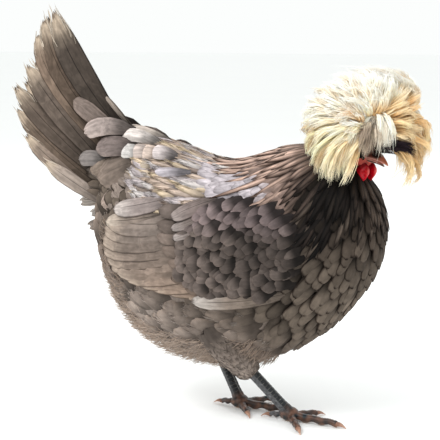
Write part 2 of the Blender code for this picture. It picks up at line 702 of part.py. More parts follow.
def centre_on_floor():
    """Moves every mesh so that the middle of the whole bird's box stands on the origin."""
    solids = list(collection("Hen").objects)
    corners = np.array([v.co for solid in solids for v in solid.data.vertices])
    low, high = corners.min(0), corners.max(0)
    shift = Vector((-(low[0] + high[0]) / 2, -(low[1] + high[1]) / 2, -low[2]))
    for solid in solids:
        solid.data.transform(Matrix.Translation(shift))
        solid.data.shade_smooth()
        solid.data.set_sharp_from_angle(angle=SHARP_ANGLE)
        solid.data.update()


clear_scene()
make_trunk()
make_head()
make_bill()
make_wattles()
make_crest()
whole_trunk = new_object("whole_trunk", trunk_shape(), "plumage", "Guides")
trunk = surface_tree(whole_trunk)
bpy.data.objects.remove(whole_trunk)
make_wing(trunk, -1)
make_wing(trunk, 1)
make_tail()
for leg in LEGS:
    make_leg(leg)
centre_on_floor()
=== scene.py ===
# %% [markdown]
# # A Polish crested hen, dressed feather by feather
# The solids of a standing hen are already packed: body, head, legs, and coarse feathers. This notebook
# gives them their looks. Each tract of feathers on a real hen has its own shape: scale-like ones on the
# breast, long pointed ones on the neck, firm vanes in wing and tail, loose plumes on the head. So each
# tract gets its own cell. Lengths are in millimetres here, and become metres when a mesh is made.

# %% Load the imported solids
import math

import bmesh
import bpy
import numpy as np
from mathutils import Matrix, Vector
from mathutils.bvhtree import BVHTree


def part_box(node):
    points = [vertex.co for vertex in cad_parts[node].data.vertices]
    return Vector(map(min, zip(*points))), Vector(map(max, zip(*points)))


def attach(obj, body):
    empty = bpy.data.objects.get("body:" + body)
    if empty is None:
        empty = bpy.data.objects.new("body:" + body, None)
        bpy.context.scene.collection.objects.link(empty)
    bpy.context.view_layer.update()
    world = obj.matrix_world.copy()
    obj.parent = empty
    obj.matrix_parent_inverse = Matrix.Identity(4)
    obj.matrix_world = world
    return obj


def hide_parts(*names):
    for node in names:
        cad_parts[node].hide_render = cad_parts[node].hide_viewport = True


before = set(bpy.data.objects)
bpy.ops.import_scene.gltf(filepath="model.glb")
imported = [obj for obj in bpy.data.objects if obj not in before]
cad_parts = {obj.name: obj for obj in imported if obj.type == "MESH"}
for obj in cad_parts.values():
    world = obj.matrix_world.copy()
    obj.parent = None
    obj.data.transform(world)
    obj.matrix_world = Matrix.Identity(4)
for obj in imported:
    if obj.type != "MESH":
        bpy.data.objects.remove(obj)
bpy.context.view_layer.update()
MM = 0.001

# %% [markdown]
# ## The hen's own measures
# A skin or a feather has to lie where the solids are, so the few measures that shaped the solids are
# repeated here: the cuts through the body, and the places of head, eyes, bill, crest and legs.
# The solids were moved so that their box is centred on the origin. One eye tells by how much.

# %% Measures of body, head, crest and legs
# Each row is one cut through the body, throat to tail: back (x, z), belly (x, z), half the width
BODY_CUTS = (
    (104, 275, 147, 245, 21), (84, 273, 156, 232, 31), (64, 267, 163, 214, 39), (44, 260, 166, 191, 49),
    (24, 254, 162, 161, 60), (5, 253, 143, 125, 68), (-15, 259, 105, 85, 72), (-36, 266, 55, 57, 72),
    (-57, 271, 0, 50, 69), (-75, 273, -54, 60, 60), (-89, 271, -98, 92, 47), (-99, 267, -119, 135, 34),
    (-107, 261, -123, 178, 23), (-113, 254, -125, 203, 14),
)
LAST_CUT = len(BODY_CUTS) - 1
LOW_WIDER = 0.1
HEAD_PLACE = (133, -2, 270)
HEAD_TURN, HEAD_TIP = math.radians(-22), math.radians(8)
SKULL, CHEEK = ((0, 0, 1), (24, 15, 17.5)), ((9, 0, -8), (14, 12.5, 10))
EYE_RADIUS, EYE_PLACE = 5.2, (8.5, 11.0, 3.0)
BILL_ROOT, BILL_LENGTH, BILL_WIDTH = (17, 0, -4.5), 25, 13
UPPER_HEIGHT, LOWER_HEIGHT, HOOK = 8.5, 4.0, 4.5
CREST_MIDDLE, CREST_REACH = (144, -2, 290), (62, 54, 61)
CREST_CORE = ((4, 0, 20), (30, 25, 26))
LEGS = {
    "right": {"foot": (79, -22), "heading": -11, "hock": (22, -27, 66)},
    "left": {"foot": (20, 5), "heading": -8, "hock": (-21, 25, 77)},
}
SHANK_RADIUS, CUFF_HEIGHT, TOE_LIFT, SOLE = 5.6, 47, 4.6, 0.9
FOOT_BALL = (9.5, 9, 7.5)
TOES = (("middle", 0, 50, 4.8), ("inner", -52, 30, 4.2), ("outer", 53, 37, 4.2), ("hind", 176, 21, 3.9))
TOE_TAPER, CLAW_LENGTH = 0.72, 11


def unit(vectors):
    """Vectors divided by their own length."""
    vectors = np.asarray(vectors, float)
    return vectors / np.linalg.norm(vectors, axis=-1, keepdims=True)


def around(count):
    """Even angles once round a circle, without its first one again at the end."""
    return np.linspace(0, 2 * math.pi, count, endpoint=False)


def bell(*offs):
    """exp(-(sum of squares)): 1 where every one of offs is 0, and small beyond 1."""
    return np.exp(-sum(off**2 for off in offs))


def mix(one, two, share):
    """one where share is 0, two where it is 1, and a blend between."""
    return one * (1 - share) + two * share


def smooth(low, high, values):
    """0 below low, 1 above high, and an S-shaped rise between them."""
    share = np.clip((np.asarray(values, float) - low) / (high - low), 0, 1)
    return share * share * (3 - 2 * share)


def head_axes():
    """The head's own axes as the columns of a matrix: x to the bill, y to its left, z up."""
    return np.array(Matrix.Rotation(HEAD_TURN, 3, "Z") @ Matrix.Rotation(HEAD_TIP, 3, "Y"))


def on_head(places):
    """Places from the head's own axes to the hen's."""
    return np.asarray(places, float) @ head_axes().T + HEAD_PLACE


eye_box = np.array(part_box("eye_right")) / MM
SHIFT = eye_box.mean(0) - on_head(np.array(EYE_PLACE) * (1, -1, 1))
print("the solids were shifted by", SHIFT.round(2), "mm")

# %% [markdown]
# ## The body as a surface of two numbers
# The trunk is one bent tube. A point on it has two numbers: how many cuts it is from the throat, and its
# angle round the tube, 0 on the back and 180 degrees under the belly. A smooth curve through the table's
# rows gives every cut between them. Everything that grows on the hen is placed with these two numbers.


# %% The body's surface
def spline(rows, at):
    """Values at places along a table, on a smooth curve through its rows (Catmull-Rom)."""
    rows = np.asarray(rows, float)
    at = np.clip(np.asarray(at, float), 0, len(rows) - 1)
    low = np.minimum(at.astype(int), len(rows) - 2)
    share = (at - low)[..., None]
    before, after = rows[np.maximum(low - 1, 0)], rows[np.minimum(low + 2, len(rows) - 1)]
    start, end = rows[low], rows[low + 1]
    return (
        start * (1 + 2 * share) * (1 - share) ** 2
        + end * share**2 * (3 - 2 * share)
        + (end - before) / 2 * share * (1 - share) ** 2
        - (after - start) / 2 * share**2 * (1 - share)
    )


def body(cuts, angles, height=0.0):
    """Points at a height over the trunk, from cuts and angles.

    From the cut's middle they go cos(angle) times half its height up, and sin(angle) times half its
    width out. LOW_WIDER makes the lower half a little wider than the upper one.
    """
    cuts, angles, height = np.broadcast_arrays(*(np.asarray(x, float) for x in (cuts, angles, height)))
    row = spline(BODY_CUTS, cuts)
    back, belly, width = row[..., 0:2], row[..., 2:4], row[..., 4]
    middle, half = (back + belly) / 2, (back - belly) / 2
    tall = np.linalg.norm(half, axis=-1)
    flat = middle + half / tall[..., None] * (np.cos(angles) * (tall + height))[..., None]
    side = np.sin(angles) * (width * (1 - LOW_WIDER * np.cos(angles)) + height)
    return np.stack([flat[..., 0], side, flat[..., 1]], -1)


def ripples(points, wave, seed, count=14):
    """Soft lumps between -1 and 1: a sum of plane waves of about one wavelength, each its own way."""
    draw = np.random.default_rng(seed)
    ways = unit(draw.normal(size=(count, 3))) * 2 * math.pi / (wave * draw.uniform(0.7, 1.5, (count, 1)))
    phases = draw.uniform(0, 2 * math.pi, count)
    return np.sin(np.asarray(points) @ ways.T + phases).sum(-1) / math.sqrt(count)


GRID_CUTS, GRID_ANGLES = np.linspace(0, LAST_CUT, 261), np.linspace(-math.pi, math.pi, 181)
grid_c, grid_a = np.meshgrid(GRID_CUTS, GRID_ANGLES, indexing="ij")
grid_points = body(grid_c, grid_a)
grid_area = np.linalg.norm(np.cross(*(np.gradient(grid_points, axis=k) for k in (0, 1))), axis=-1)
print("the trunk's skin is", round(grid_area.sum() / 100), "square centimetres")

# %% [markdown]
# ## From arrays to meshes
# A grid of points becomes a mesh by joining each square of four neighbours with two triangles. The mesh
# is filled with foreach_set, which takes whole arrays and is far quicker than adding points one by one.
# Each mesh keeps its object at the origin, so patterns that read object coordinates don't slide.


# %% Meshes from arrays
def tube_faces(rings, sides):
    """Triangles of a closed tube whose last two points are the middles of its ends."""
    ring = np.arange(rings * sides).reshape(rings, sides)
    after = np.roll(ring, -1, axis=1)
    a, b, c, d = ring[:-1], after[:-1], after[1:], ring[1:]
    quads = [np.stack([a, b, c], -1), np.stack([a, c, d], -1)]
    start, end = np.full(sides, rings * sides), np.full(sides, rings * sides + 1)
    caps = [np.stack([start, after[0], ring[0]], -1), np.stack([end, ring[-1], after[-1]], -1)]
    return np.concatenate([part.reshape(-1, 3) for part in quads + caps])


def tube(rings):
    """Points and triangles of a closed tube through an array of rings."""
    points = np.concatenate([rings.reshape(-1, 3), [rings[0].mean(0), rings[-1].mean(0)]])
    return points, tube_faces(*rings.shape[:2])


def plain_mesh(name, points, faces):
    """A mesh in metres, in the solids' own frame, from points in millimetres and triangles."""
    faces = np.ascontiguousarray(faces, dtype=np.int32)
    mesh = bpy.data.meshes.new(name)
    mesh.vertices.add(len(points))
    mesh.vertices.foreach_set("co", ((points + SHIFT) * MM).astype(np.float32).ravel())
    mesh.loops.add(faces.size)
    mesh.loops.foreach_set("vertex_index", faces.ravel())
    mesh.polygons.add(len(faces))
    mesh.polygons.foreach_set("loop_start", np.arange(len(faces), dtype=np.int32) * 3)
    mesh.update(calc_edges=True)
    return mesh


def add_map(mesh, name, values):
    """A UV map from one pair of numbers for each point."""
    corners = np.empty(len(mesh.loops), np.int32)
    mesh.loops.foreach_get("vertex_index", corners)
    mesh.uv_layers.new(name=name).data.foreach_set("uv", values[corners].astype(np.float32).ravel())


def add_tint(mesh, colours):
    """A colour for each point, whose fourth number says how dark or pale a feather's edge is."""
    tint = mesh.attributes.new("Tint", "FLOAT_COLOR", "POINT")
    tint.data.foreach_set("color", colours.astype(np.float32).ravel())


def add_colour(mesh, colours):
    """A colour for each point of a piece that isn't feathers."""
    add_tint(mesh, np.column_stack([colours, np.ones(len(colours))]))


def link(name, data):
    """A new object in the scene."""
    made = bpy.data.objects.new(name, data)
    bpy.context.scene.collection.objects.link(made)
    return made


def place(name, mesh, finish, replaced=(), sharp=60):
    """Puts a finished mesh into the scene as a piece that rides on the bird."""
    mesh.shade_smooth()
    mesh.set_sharp_from_angle(angle=math.radians(sharp))
    mesh.materials.clear()
    mesh.materials.append(finish)
    piece = link(name, mesh)
    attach(piece, "root")
    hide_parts(*replaced)
    print(f"{name}: {len(mesh.polygons)} faces")
    return piece


def mesh_points(mesh):
    """A mesh's points in millimetres, in the frame of the measures above."""
    points = np.empty(len(mesh.vertices) * 3)
    mesh.vertices.foreach_get("co", points)
    return points.reshape(-1, 3) / MM - SHIFT


def set_points(mesh, points):
    """Moves a mesh's points to places in millimetres."""
    mesh.vertices.foreach_set("co", ((points + SHIFT) * MM).astype(np.float32).ravel())
    mesh.update()


print("a ring of 4 points has the angles", around(4).round(2))

# %% [markdown]
# ## Colours and finishes
# A blue hen's feather isn't one grey. Each has a darker or paler edge, a shaft, fine barbs that slant
# away from it, and a shade of its own. The colour of each feather is worked out from its place and kept
# in the mesh as the attribute Tint. The material adds what follows the feather's own map, called Vane:
# across is 0 to 1 from edge to edge, and along is 0 at the root and 1 at the tip.


# %% A small kit for shader nodes
def paint(red, green, blue):
    """A colour from a chart's numbers, 0 to 255, as the linear values that Blender works with."""
    return np.array([red, green, blue]) ** 2.2 / 255**2.2


def new_finish(name, roughness):
    """A material, its nodes, and its shader with one roughness."""
    made = bpy.data.materials.new(name)
    made.use_nodes = True
    shader = made.node_tree.nodes["Principled BSDF"]
    shader.inputs["Roughness"].default_value = roughness
    shader.inputs["Specular IOR Level"].default_value = 0.25
    return made, made.node_tree, shader


def plug(tree, socket, value):
    """Links a socket, or sets it where the value is a plain number or colour."""
    if isinstance(value, bpy.types.NodeSocket):
        tree.links.new(value, socket)
    else:
        socket.default_value = value


def maths(tree, operation, one, two=0.0):
    """A sum, product or other operation on two values."""
    node = tree.nodes.new("ShaderNodeMath")
    node.operation = operation
    plug(tree, node.inputs[0], one)
    plug(tree, node.inputs[1], two)
    return node.outputs[0]


def times(tree, one, two):
    """one * two."""
    return maths(tree, "MULTIPLY", one, two)


def less(tree, one, two):
    """one - two."""
    return maths(tree, "SUBTRACT", one, two)


def rise(tree, value, low, high, start=0.0, end=1.0):
    """start below low and end above high, with an S-shaped change between them."""
    node = tree.nodes.new("ShaderNodeMapRange")
    node.interpolation_type = "SMOOTHSTEP"
    for socket, given in zip(node.inputs, (value, low, high, start, end)):
        plug(tree, socket, given)
    return node.outputs[0]


def blend(tree, share, one, two, mode="MIX"):
    """A mix of two colours."""
    node = tree.nodes.new("ShaderNodeMix")
    node.data_type = "RGBA"
    node.blend_type = mode
    plug(tree, node.inputs["Factor"], share)
    plug(tree, node.inputs["A"], one)
    plug(tree, node.inputs["B"], two)
    return node.outputs["Result"]


def dyed(tree, base, dye):
    """A colour multiplied by another."""
    return blend(tree, 1.0, base, dye, "MULTIPLY")


def noise(tree, size, detail=3.0, vector=None):
    """Mottling whose lumps are about size millimetres across, on the object's own coordinates."""
    node = tree.nodes.new("ShaderNodeTexNoise")
    node.inputs["Scale"].default_value = 1 / (size * MM)
    node.inputs["Detail"].default_value = detail
    if vector is None:
        vector = tree.nodes.new("ShaderNodeTexCoord").outputs["Object"]
    tree.links.new(vector, node.inputs["Vector"])
    return node.outputs["Fac"]


def bump(tree, shader, height, strength, depth):
    """Raises the surface by a height pattern whose full range is depth millimetres."""
    node = tree.nodes.new("ShaderNodeBump")
    node.inputs["Strength"].default_value = strength
    node.inputs["Distance"].default_value = depth * MM
    tree.links.new(height, node.inputs["Height"])
    tree.links.new(node.outputs["Normal"], shader.inputs["Normal"])


def grey(tree, value):
    """A colour whose three parts are one value."""
    node = tree.nodes.new("ShaderNodeCombineColor")
    for socket in node.inputs:
        tree.links.new(value, socket)
    return node.outputs[0]


def read_tint(tree):
    """The colour of the mesh's Tint, and its fourth number."""
    node = tree.nodes.new("ShaderNodeAttribute")
    node.attribute_name = "Tint"
    return node.outputs["Color"], node.outputs["Alpha"]


print("the chart's middle grey is", paint(128, 128, 128).round(3), "for Blender")

# %% [markdown]
# A feather's edge is dark where its fourth tint number is 1, pale where it is 0, and plain at one half.
# The barbs are stripes that run outwards and towards the tip, so their pattern reads along minus a part
# of the distance from the shaft.


# %% The finish of feathers
# How far the barbs lean, the rim's share at the tip, and what the darkest edge leaves of a colour
BARB_SLANT, TIP_EDGE, DARK_EDGE = 0.4, 0.32, (0.13, 0.10, 0.09, 1)


def feather_finish(name, roughness, shaft, edge_from, barbs, gap, streak, pale_edge=1.6):
    """Tint, times edge, shaft, barbs, streaks and a painted shade at the root.

    shaft is a (multiple of the tint, width) pair, below 1 for a dark shaft. gap is a pair for the painted
    shade where the feather's neighbours lie over it: how dark it is, and how far along the feather it has
    gone. streak is a pair too: how strong the lengthwise streaks are, and how many fit across.
    """
    made, tree, shader = new_finish(name, roughness)
    shader.inputs["Specular IOR Level"].default_value = 0.1
    tint, edge_kind = read_tint(tree)
    vane = tree.nodes.new("ShaderNodeUVMap")
    vane.uv_map = "Vane"
    split = tree.nodes.new("ShaderNodeSeparateXYZ")
    tree.links.new(vane.outputs["UV"], split.inputs[0])
    across, along = split.outputs[0], split.outputs[1]
    out = maths(tree, "ABSOLUTE", less(tree, times(tree, across, 2.0), 1.0))
    slant = less(tree, times(tree, along, barbs), times(tree, out, barbs * BARB_SLANT))
    wobble = times(tree, noise(tree, 4), 2.0)
    stripes = maths(tree, "SINE", maths(tree, "ADD", times(tree, slant, 2 * math.pi), wobble))
    run = tree.nodes.new("ShaderNodeCombineXYZ")
    drift = times(tree, noise(tree, 60), 20.0)
    for socket, value in zip(run.inputs, (times(tree, across, streak[1]), along, drift)):
        plug(tree, socket, value)
    lines = rise(tree, noise(tree, 1000, 3, run.outputs[0]), 0.32, 0.68, 1 - streak[0], 1 + streak[0])
    mottle = rise(tree, noise(tree, 6, 5), 0.25, 0.75, 0.86, 1.12)
    light = times(tree, times(tree, mottle, rise(tree, stripes, -1, 1, 0.94, 1.05)), lines)
    # Painted shade: darker towards the root, where the feather's neighbours lie over it
    root = rise(tree, along, gap[1] - 0.5, gap[1], gap[0], 1.0)
    base = dyed(tree, tint, grey(tree, times(tree, light, root)))
    tip_from = 1 - (1 - edge_from) * TIP_EDGE
    rim = maths(tree, "MAXIMUM", rise(tree, out, edge_from, 1.0), rise(tree, along, tip_from, 1.0))
    dark = times(tree, rim, rise(tree, edge_kind, 0.5, 1.0))
    pale = times(tree, rim, rise(tree, edge_kind, 0.0, 0.5, 1.0, 0.0))
    base = blend(tree, dark, base, dyed(tree, base, DARK_EDGE))
    brighter = (pale_edge, pale_edge * 0.97, pale_edge * 0.94, 1)
    base = blend(tree, pale, base, dyed(tree, base, brighter))
    quill = times(tree, rise(tree, out, 0, shaft[1], 1.0, 0.0), rise(tree, along, 0.7, 0.95, 1.0, 0.0))
    base = blend(tree, quill, base, dyed(tree, base, (shaft[0], shaft[0], shaft[0], 1)))
    tree.links.new(base, shader.inputs["Base Color"])
    bump(tree, shader, less(tree, stripes, times(tree, quill, 2.0)), 0.4, 0.15)
    return made


# Name, roughness, shaft, edge start, barbs, gap (painted root shade), streak, brightness of a pale edge
contour_finish = feather_finish("Contour feather", 0.8, (1.0, 0.06), 0.72, 22, (0.3, 0.75), (0.1, 4))
wing_finish = feather_finish("Wing covert", 0.75, (1.0, 0.06), 0.5, 18, (0.14, 0.86), (0.12, 4), 1.35)
soft_finish = feather_finish("Belly feather", 0.9, (1.0, 0.06), 0.6, 16, (0.4, 0.85), (0.1, 5), 1.25)
hackle_finish = feather_finish("Neck hackle", 0.6, (1.7, 0.5), 0.36, 26, (0.3, 0.75), (0.16, 5))
flight_finish = feather_finish("Flight feather", 0.65, (0.25, 0.06), 0.86, 60, (0.5, 0.6), (0.2, 6))
covert_finish = feather_finish("Tail covert", 0.75, (0.8, 0.06), 0.6, 30, (0.3, 0.62), (0.22, 6), 1.5)
saddle_finish = feather_finish("Saddle feather", 0.75, (1.25, 0.3), 0.5, 24, (0.4, 0.6), (0.25, 4), 1.4)
print("feather finishes: contour, wing covert, belly, hackle, flight, tail covert, saddle")

# %% [markdown]
# Crest and down are soft and dull, skin and wattles are grained, and horn shines a little. None of them
# needs a feather's map, so one function serves them all: mottling varies the Tint, and a bump gives the
# grain. A wattle is thin and full of blood, so light also goes a short way into it.


# %% The finish of plumes, skin, horn and scales
def painted_finish(name, roughness, mottle_size, mottle, bump_size, bump_depth, sheen=0.0, coat=0.0):
    """Tint with mottling, and fine relief of one size."""
    made, tree, shader = new_finish(name, roughness)
    tint, _ = read_tint(tree)
    light = grey(tree, rise(tree, noise(tree, mottle_size, 4), 0.2, 0.8, 1 - mottle, 1 + mottle))
    tree.links.new(dyed(tree, tint, light), shader.inputs["Base Color"])
    shader.inputs["Sheen Weight"].default_value = sheen
    shader.inputs["Coat Weight"].default_value = coat
    shader.inputs["Coat Roughness"].default_value = 0.12
    bump(tree, shader, noise(tree, bump_size, 5), 0.6, bump_depth)
    return made


plume_finish = painted_finish("Crest plume", 0.85, 5, 0.1, 1.5, 0.1, sheen=0.4)
down_finish = painted_finish("Down", 0.95, 6, 0.12, 1.5, 0.1, sheen=0.4)
skin_finish = painted_finish("Skin", 0.6, 3, 0.25, 0.7, 0.35)
wattle_finish = painted_finish("Wattle", 0.4, 2.2, 0.22, 0.8, 0.35, coat=0.25)
horn_finish = painted_finish("Horn", 0.38, 3, 0.25, 1.2, 0.1, coat=0.2)
scale_finish = painted_finish("Leg scales", 0.45, 2.5, 0.3, 0.6, 0.15, coat=0.1)
wattle_shader = wattle_finish.node_tree.nodes["Principled BSDF"]
wattle_shader.inputs["Subsurface Weight"].default_value = 0.12
wattle_shader.inputs["Subsurface Radius"].default_value = (0.004, 0.001, 0.0006)
print("other finishes: plume, down, skin, wattle, horn, leg scales")

# %% [markdown]
# ## One skin under the feathers
# Plucked, the hen is smaller than she looks, and one skin runs from her head to her tail. It could be
# pieced together from the solids, but their seams would show. Instead the trunk, thighs and head are
# drawn a little inside the solids, and a voxel remesh melts each group into one smooth closed surface.
# The head gets finer voxels, because its bare face and lids are seen.


# %% The skin
def melt(name, shapes, voxel, rounds):
    """One closed mesh round several overlapping shapes: voxel remesh, then smoothing."""
    meshes = [plain_mesh(name, *shape) for shape in shapes]
    work = bmesh.new()
    for mesh in meshes:
        work.from_mesh(mesh)
    bmesh.ops.recalc_face_normals(work, faces=work.faces)
    joint = bpy.data.meshes.new(name)
    work.to_mesh(joint)
    work.free()
    carrier = link(name, joint)
    remesh = carrier.modifiers.new("melt", "REMESH")
    remesh.mode = "VOXEL"
    remesh.voxel_size = voxel * MM
    soften = carrier.modifiers.new("soften", "SMOOTH")
    soften.iterations = rounds
    triangles = carrier.modifiers.new("triangles", "TRIANGULATE")
    triangles.quad_method = "SHORTEST_DIAGONAL"
    graph = bpy.context.evaluated_depsgraph_get()
    melted = bpy.data.meshes.new_from_object(carrier.evaluated_get(graph))
    bpy.data.objects.remove(carrier)
    return melted


def ball(centre, half_sizes, axes=np.eye(3), rings=24, sides=32):
    """An ellipsoid as a tube: rings at cos(t) along its x axis, sin(t) across."""
    t = np.linspace(0, math.pi, rings + 2)[1:-1, None]
    turn = around(sides)[None]
    shape = np.stack([np.cos(t) + 0 * turn, np.sin(t) * np.cos(turn), np.sin(t) * np.sin(turn)], -1)
    points, faces = tube(shape)
    points[-2:] = ((1, 0, 0), (-1, 0, 0))
    return (points * half_sizes) @ np.asarray(axes).T + centre, faces[:, ::-1]


def limb(path, radii, sides=24, heading=None, squash=1.0, relief=None):
    """A tube along a path. relief adds height to each point of the (ring, side) grid."""
    path = np.asarray(path, float)
    ahead = np.gradient(path, axis=0) if heading is None else np.tile(heading, (len(path), 1))
    ahead = unit(ahead)
    side = unit(np.cross(ahead, (0, 0, 1.0)))
    up = np.cross(side, ahead)
    angles = around(sides)
    cosines, sines = np.cos(angles)[None, :, None], np.sin(angles)[None, :, None]
    outward = cosines * side[:, None] + sines * up[:, None] * squash
    reach = np.asarray(radii, float)[:, None] + (0 if relief is None else relief)
    return tube(path[:, None] + outward * reach[..., None])


def leg_line(side_name):
    """The foot's middle, the way up the shank, and the cuff where the feathers begin."""
    plan = LEGS[side_name]
    foot = np.array([*plan["foot"], FOOT_BALL[2] - SOLE])
    along = unit(np.array(plan["hock"], float) - foot)
    return foot, along, foot + along * (CUFF_HEIGHT - foot[2]) / along[2]


def thigh_line(side_name):
    """Points along the thigh from the cuff up into the body, and its radii."""
    outward = -1 if side_name == "right" else 1
    _, along, cuff = leg_line(side_name)
    knee = cuff + along * 46 + np.array([2, outward * 12, 8])
    return np.array([cuff, cuff + along * 8, cuff + along * 18, knee]), np.array([5.8, 8.0, 12.5, 18.0])


SKIN_DEPTH, HEAD_DEPTH, LID_THICK = 4.5, 0.4, 1.6
TRUNK_VOXEL, HEAD_VOXEL = 2.6, 0.75
all_cuts = np.linspace(0, LAST_CUT, 90)[:, None]
throat_cuts = np.linspace(0, 1.3, 12)[:, None]
round_body = around(72)[None]
trunk_parts = [tube(body(all_cuts, round_body, -SKIN_DEPTH))]
for name in LEGS:
    trunk_parts.append(limb(*thigh_line(name)))
trunk_skin = melt("trunk", trunk_parts, TRUNK_VOXEL, 6)
axes = head_axes()
head_parts = [tube(body(throat_cuts, round_body, -SKIN_DEPTH + 0.5))]
for spot, half in (SKULL, CHEEK):
    head_parts.append(ball(on_head(spot), np.array(half) - HEAD_DEPTH, axes))
for side in (-1, 1):
    head_parts.append(ball(on_head(np.array(EYE_PLACE) * (1, side, 1)), (EYE_RADIUS + LID_THICK,) * 3, axes))
head_skin = melt("head", head_parts, HEAD_VOXEL, 4)
print("skin:", len(trunk_skin.polygons), "triangles on the trunk and", len(head_skin.polygons), "on the head")

# %% [markdown]
# The lids are pressed into the head's skin: inside the ring of each eye the skin is cut back flat, and
# round it a soft ridge rises. Wrinkles on the bare cheek are small waves along the skin's own normal.


# %% Lids, wrinkles and the colour of the skin
# Height and colour of the plumage, belly to throat
BODY_TONES = (
    (20, 168, 153, 143), (50, 150, 137, 128), (80, 126, 114, 106), (115, 108, 97, 89), (150, 98, 88, 79),
    (185, 86, 77, 69), (205, 76, 67, 60), (222, 62, 54, 48), (236, 40, 35, 31),
)
LILAC, STRAW, MAUVE = paint(172, 163, 165), paint(206, 186, 158), paint(100, 90, 85)


def body_tone(points):
    """The plumage's ground colour: near black at the throat, paler downwards and backwards."""
    x, y, z = points.T
    level = z - 0.45 * np.clip(40 - x, 0, 150)
    level = np.maximum(level, np.minimum(level + 0.8 * np.clip(x - 50, 0, 80), 150))
    table = np.array(BODY_TONES, float)
    tone = paint(*(np.interp(level, table[:, 0], table[:, k]) for k in (1, 2, 3))).T
    black = bell((x - 124) / 24, (z - 224) / 19, (np.abs(y) - 44) / 24)
    return tone * (1 - 0.88 * black[:, None])


def shape_lids(points):
    """Flattens the skin inside each eye's ring and raises a ridge round it: a bell curve of the radius."""
    local = (points - HEAD_PLACE) @ axes
    for side in (-1, 1):
        off = local - np.array(EYE_PLACE) * (1, side, 1)
        radius = np.hypot(off[:, 0] / 1.12, off[:, 2] / 0.9)
        out = off[:, 1] * side
        front = (out > 0) & (radius < 8.5)
        ridge = 1.5 * bell((radius - 4.9) / 0.9) + 0.5 * bell((radius - 7.0) / 0.7)
        level = EYE_RADIUS * 0.55 + ridge - 2.2 * smooth(5.0, 8.5, radius)
        local[:, 1] = np.where(front, side * np.minimum(out, level) + EYE_PLACE[1] * side, local[:, 1])
    return local @ axes.T + HEAD_PLACE


head_points = shape_lids(mesh_points(head_skin))
set_points(head_skin, head_points)
normals = np.empty(len(head_points) * 3)
head_skin.vertices.foreach_get("normal", normals)
wrinkles = ripples(head_points * (1, 1, 1.8), 3.2, 4) * 0.16
set_points(head_skin, head_points + normals.reshape(-1, 3) * wrinkles[:, None])


def union(one, two, name):
    """Joins two closed meshes into one."""
    pieces = [link(name, mesh) for mesh in (one, two)]
    joiner = pieces[0].modifiers.new("join", "BOOLEAN")
    joiner.operation = "UNION"
    joiner.solver = "MANIFOLD"
    joiner.object = pieces[1]
    graph = bpy.context.evaluated_depsgraph_get()
    made = bpy.data.meshes.new_from_object(pieces[0].evaluated_get(graph))
    for piece in pieces:
        bpy.data.objects.remove(piece)
    return made


skin = union(trunk_skin, head_skin, "Skin")
skin_points = mesh_points(skin)
local = (skin_points - HEAD_PLACE) @ axes
DARK_SKIN, FACE_RED = paint(52, 30, 28), paint(188, 78, 66)
# The face is bare up to the brow and down to the throat, and reddest at the gape
bare = smooth(6, 0, np.abs(local[:, 0] - 14) - 12)
bare = bare * smooth(4, -2, local[:, 2] - 6) * smooth(-22, -16, local[:, 2])
gape = smooth(3, 0, np.abs(local[:, 0] - 18.5) - 4.5) * smooth(2.5, 0, np.abs(local[:, 2] + 8.5) - 4.5)
redness = (gape * (0.8 + 0.2 * ripples(skin_points, 6, 8)))[:, None]
on_back = (smooth(196, 222, skin_points[:, 2]) * smooth(100, 60, skin_points[:, 0]))[:, None]
marked = mix(body_tone(skin_points), LILAC * 0.8, on_back)
skin_colour = mix(marked, mix(DARK_SKIN, FACE_RED, redness), bare[:, None])
add_colour(skin, np.clip(skin_colour, 0, 1))
flesh = ("torso", "neck", "rump", "thigh_right", "thigh_left", "head")
place("Skin", skin, skin_finish, flesh)

# %% [markdown]
# ## Eyes, bill, wattles
# An eye is a ball that bulges a little in front. Its map runs from the pupil to the back, so the iris is
# a ring in that map. The bill is two horny half tubes. The upper one hooks over the lower, and Polish
# fowl have high, wide nostrils with a raised rim. A wattle is a thin lobe of bare red skin.


# %% Eyes
def eye_finish():
    """Pupil, iris and white as bands of the map called Rings, under a wet coat."""
    made, tree, shader = new_finish("Eye", 0.08)
    rings = tree.nodes.new("ShaderNodeUVMap")
    rings.uv_map = "Rings"
    split = tree.nodes.new("ShaderNodeSeparateXYZ")
    tree.links.new(rings.outputs["UV"], split.inputs[0])
    iris = blend(tree, noise(tree, 0.5, 4), (0.45, 0.10, 0.02, 1), (0.75, 0.24, 0.05, 1))
    colour = blend(tree, rise(tree, split.outputs[1], 0.115, 0.13), (0.004, 0.003, 0.003, 1), iris)
    colour = blend(tree, rise(tree, split.outputs[1], 0.235, 0.26), colour, (0.03, 0.012, 0.008, 1))
    tree.links.new(colour, shader.inputs["Base Color"])
    shader.inputs["Specular IOR Level"].default_value = 0.6
    shader.inputs["Coat Weight"].default_value = 0.8
    return made


eye_glass = eye_finish()
for side, name in ((-1, "right"), (1, "left")):
    t = np.linspace(0, math.pi, 34)[1:-1, None]
    turn = around(40)[None]
    reach = EYE_RADIUS * (1 + 0.05 * bell(t / 0.5))
    ahead, out = reach * np.sin(t) * np.cos(turn), side * reach * (np.cos(t) + 0 * turn)
    points, faces = tube(np.stack([ahead, out, side * reach * np.sin(t) * np.sin(turn)], -1))
    points[-2:] = ((0, side * EYE_RADIUS * 1.05, 0), (0, -side * EYE_RADIUS, 0))
    eye_mesh = plain_mesh(f"Eye_{name}", on_head(points + np.array(EYE_PLACE) * (1, side, 1)), faces[:, ::-1])
    rings_map = np.column_stack([np.tile(turn[0] / 2 / math.pi, 32), np.repeat(t[:, 0] / math.pi, 40)])
    add_map(eye_mesh, "Rings", np.concatenate([rings_map, [(0.5, 0), (0.5, 1)]]))
    place(f"Eye_{name}", eye_mesh, eye_glass, (f"eye_{name}",))


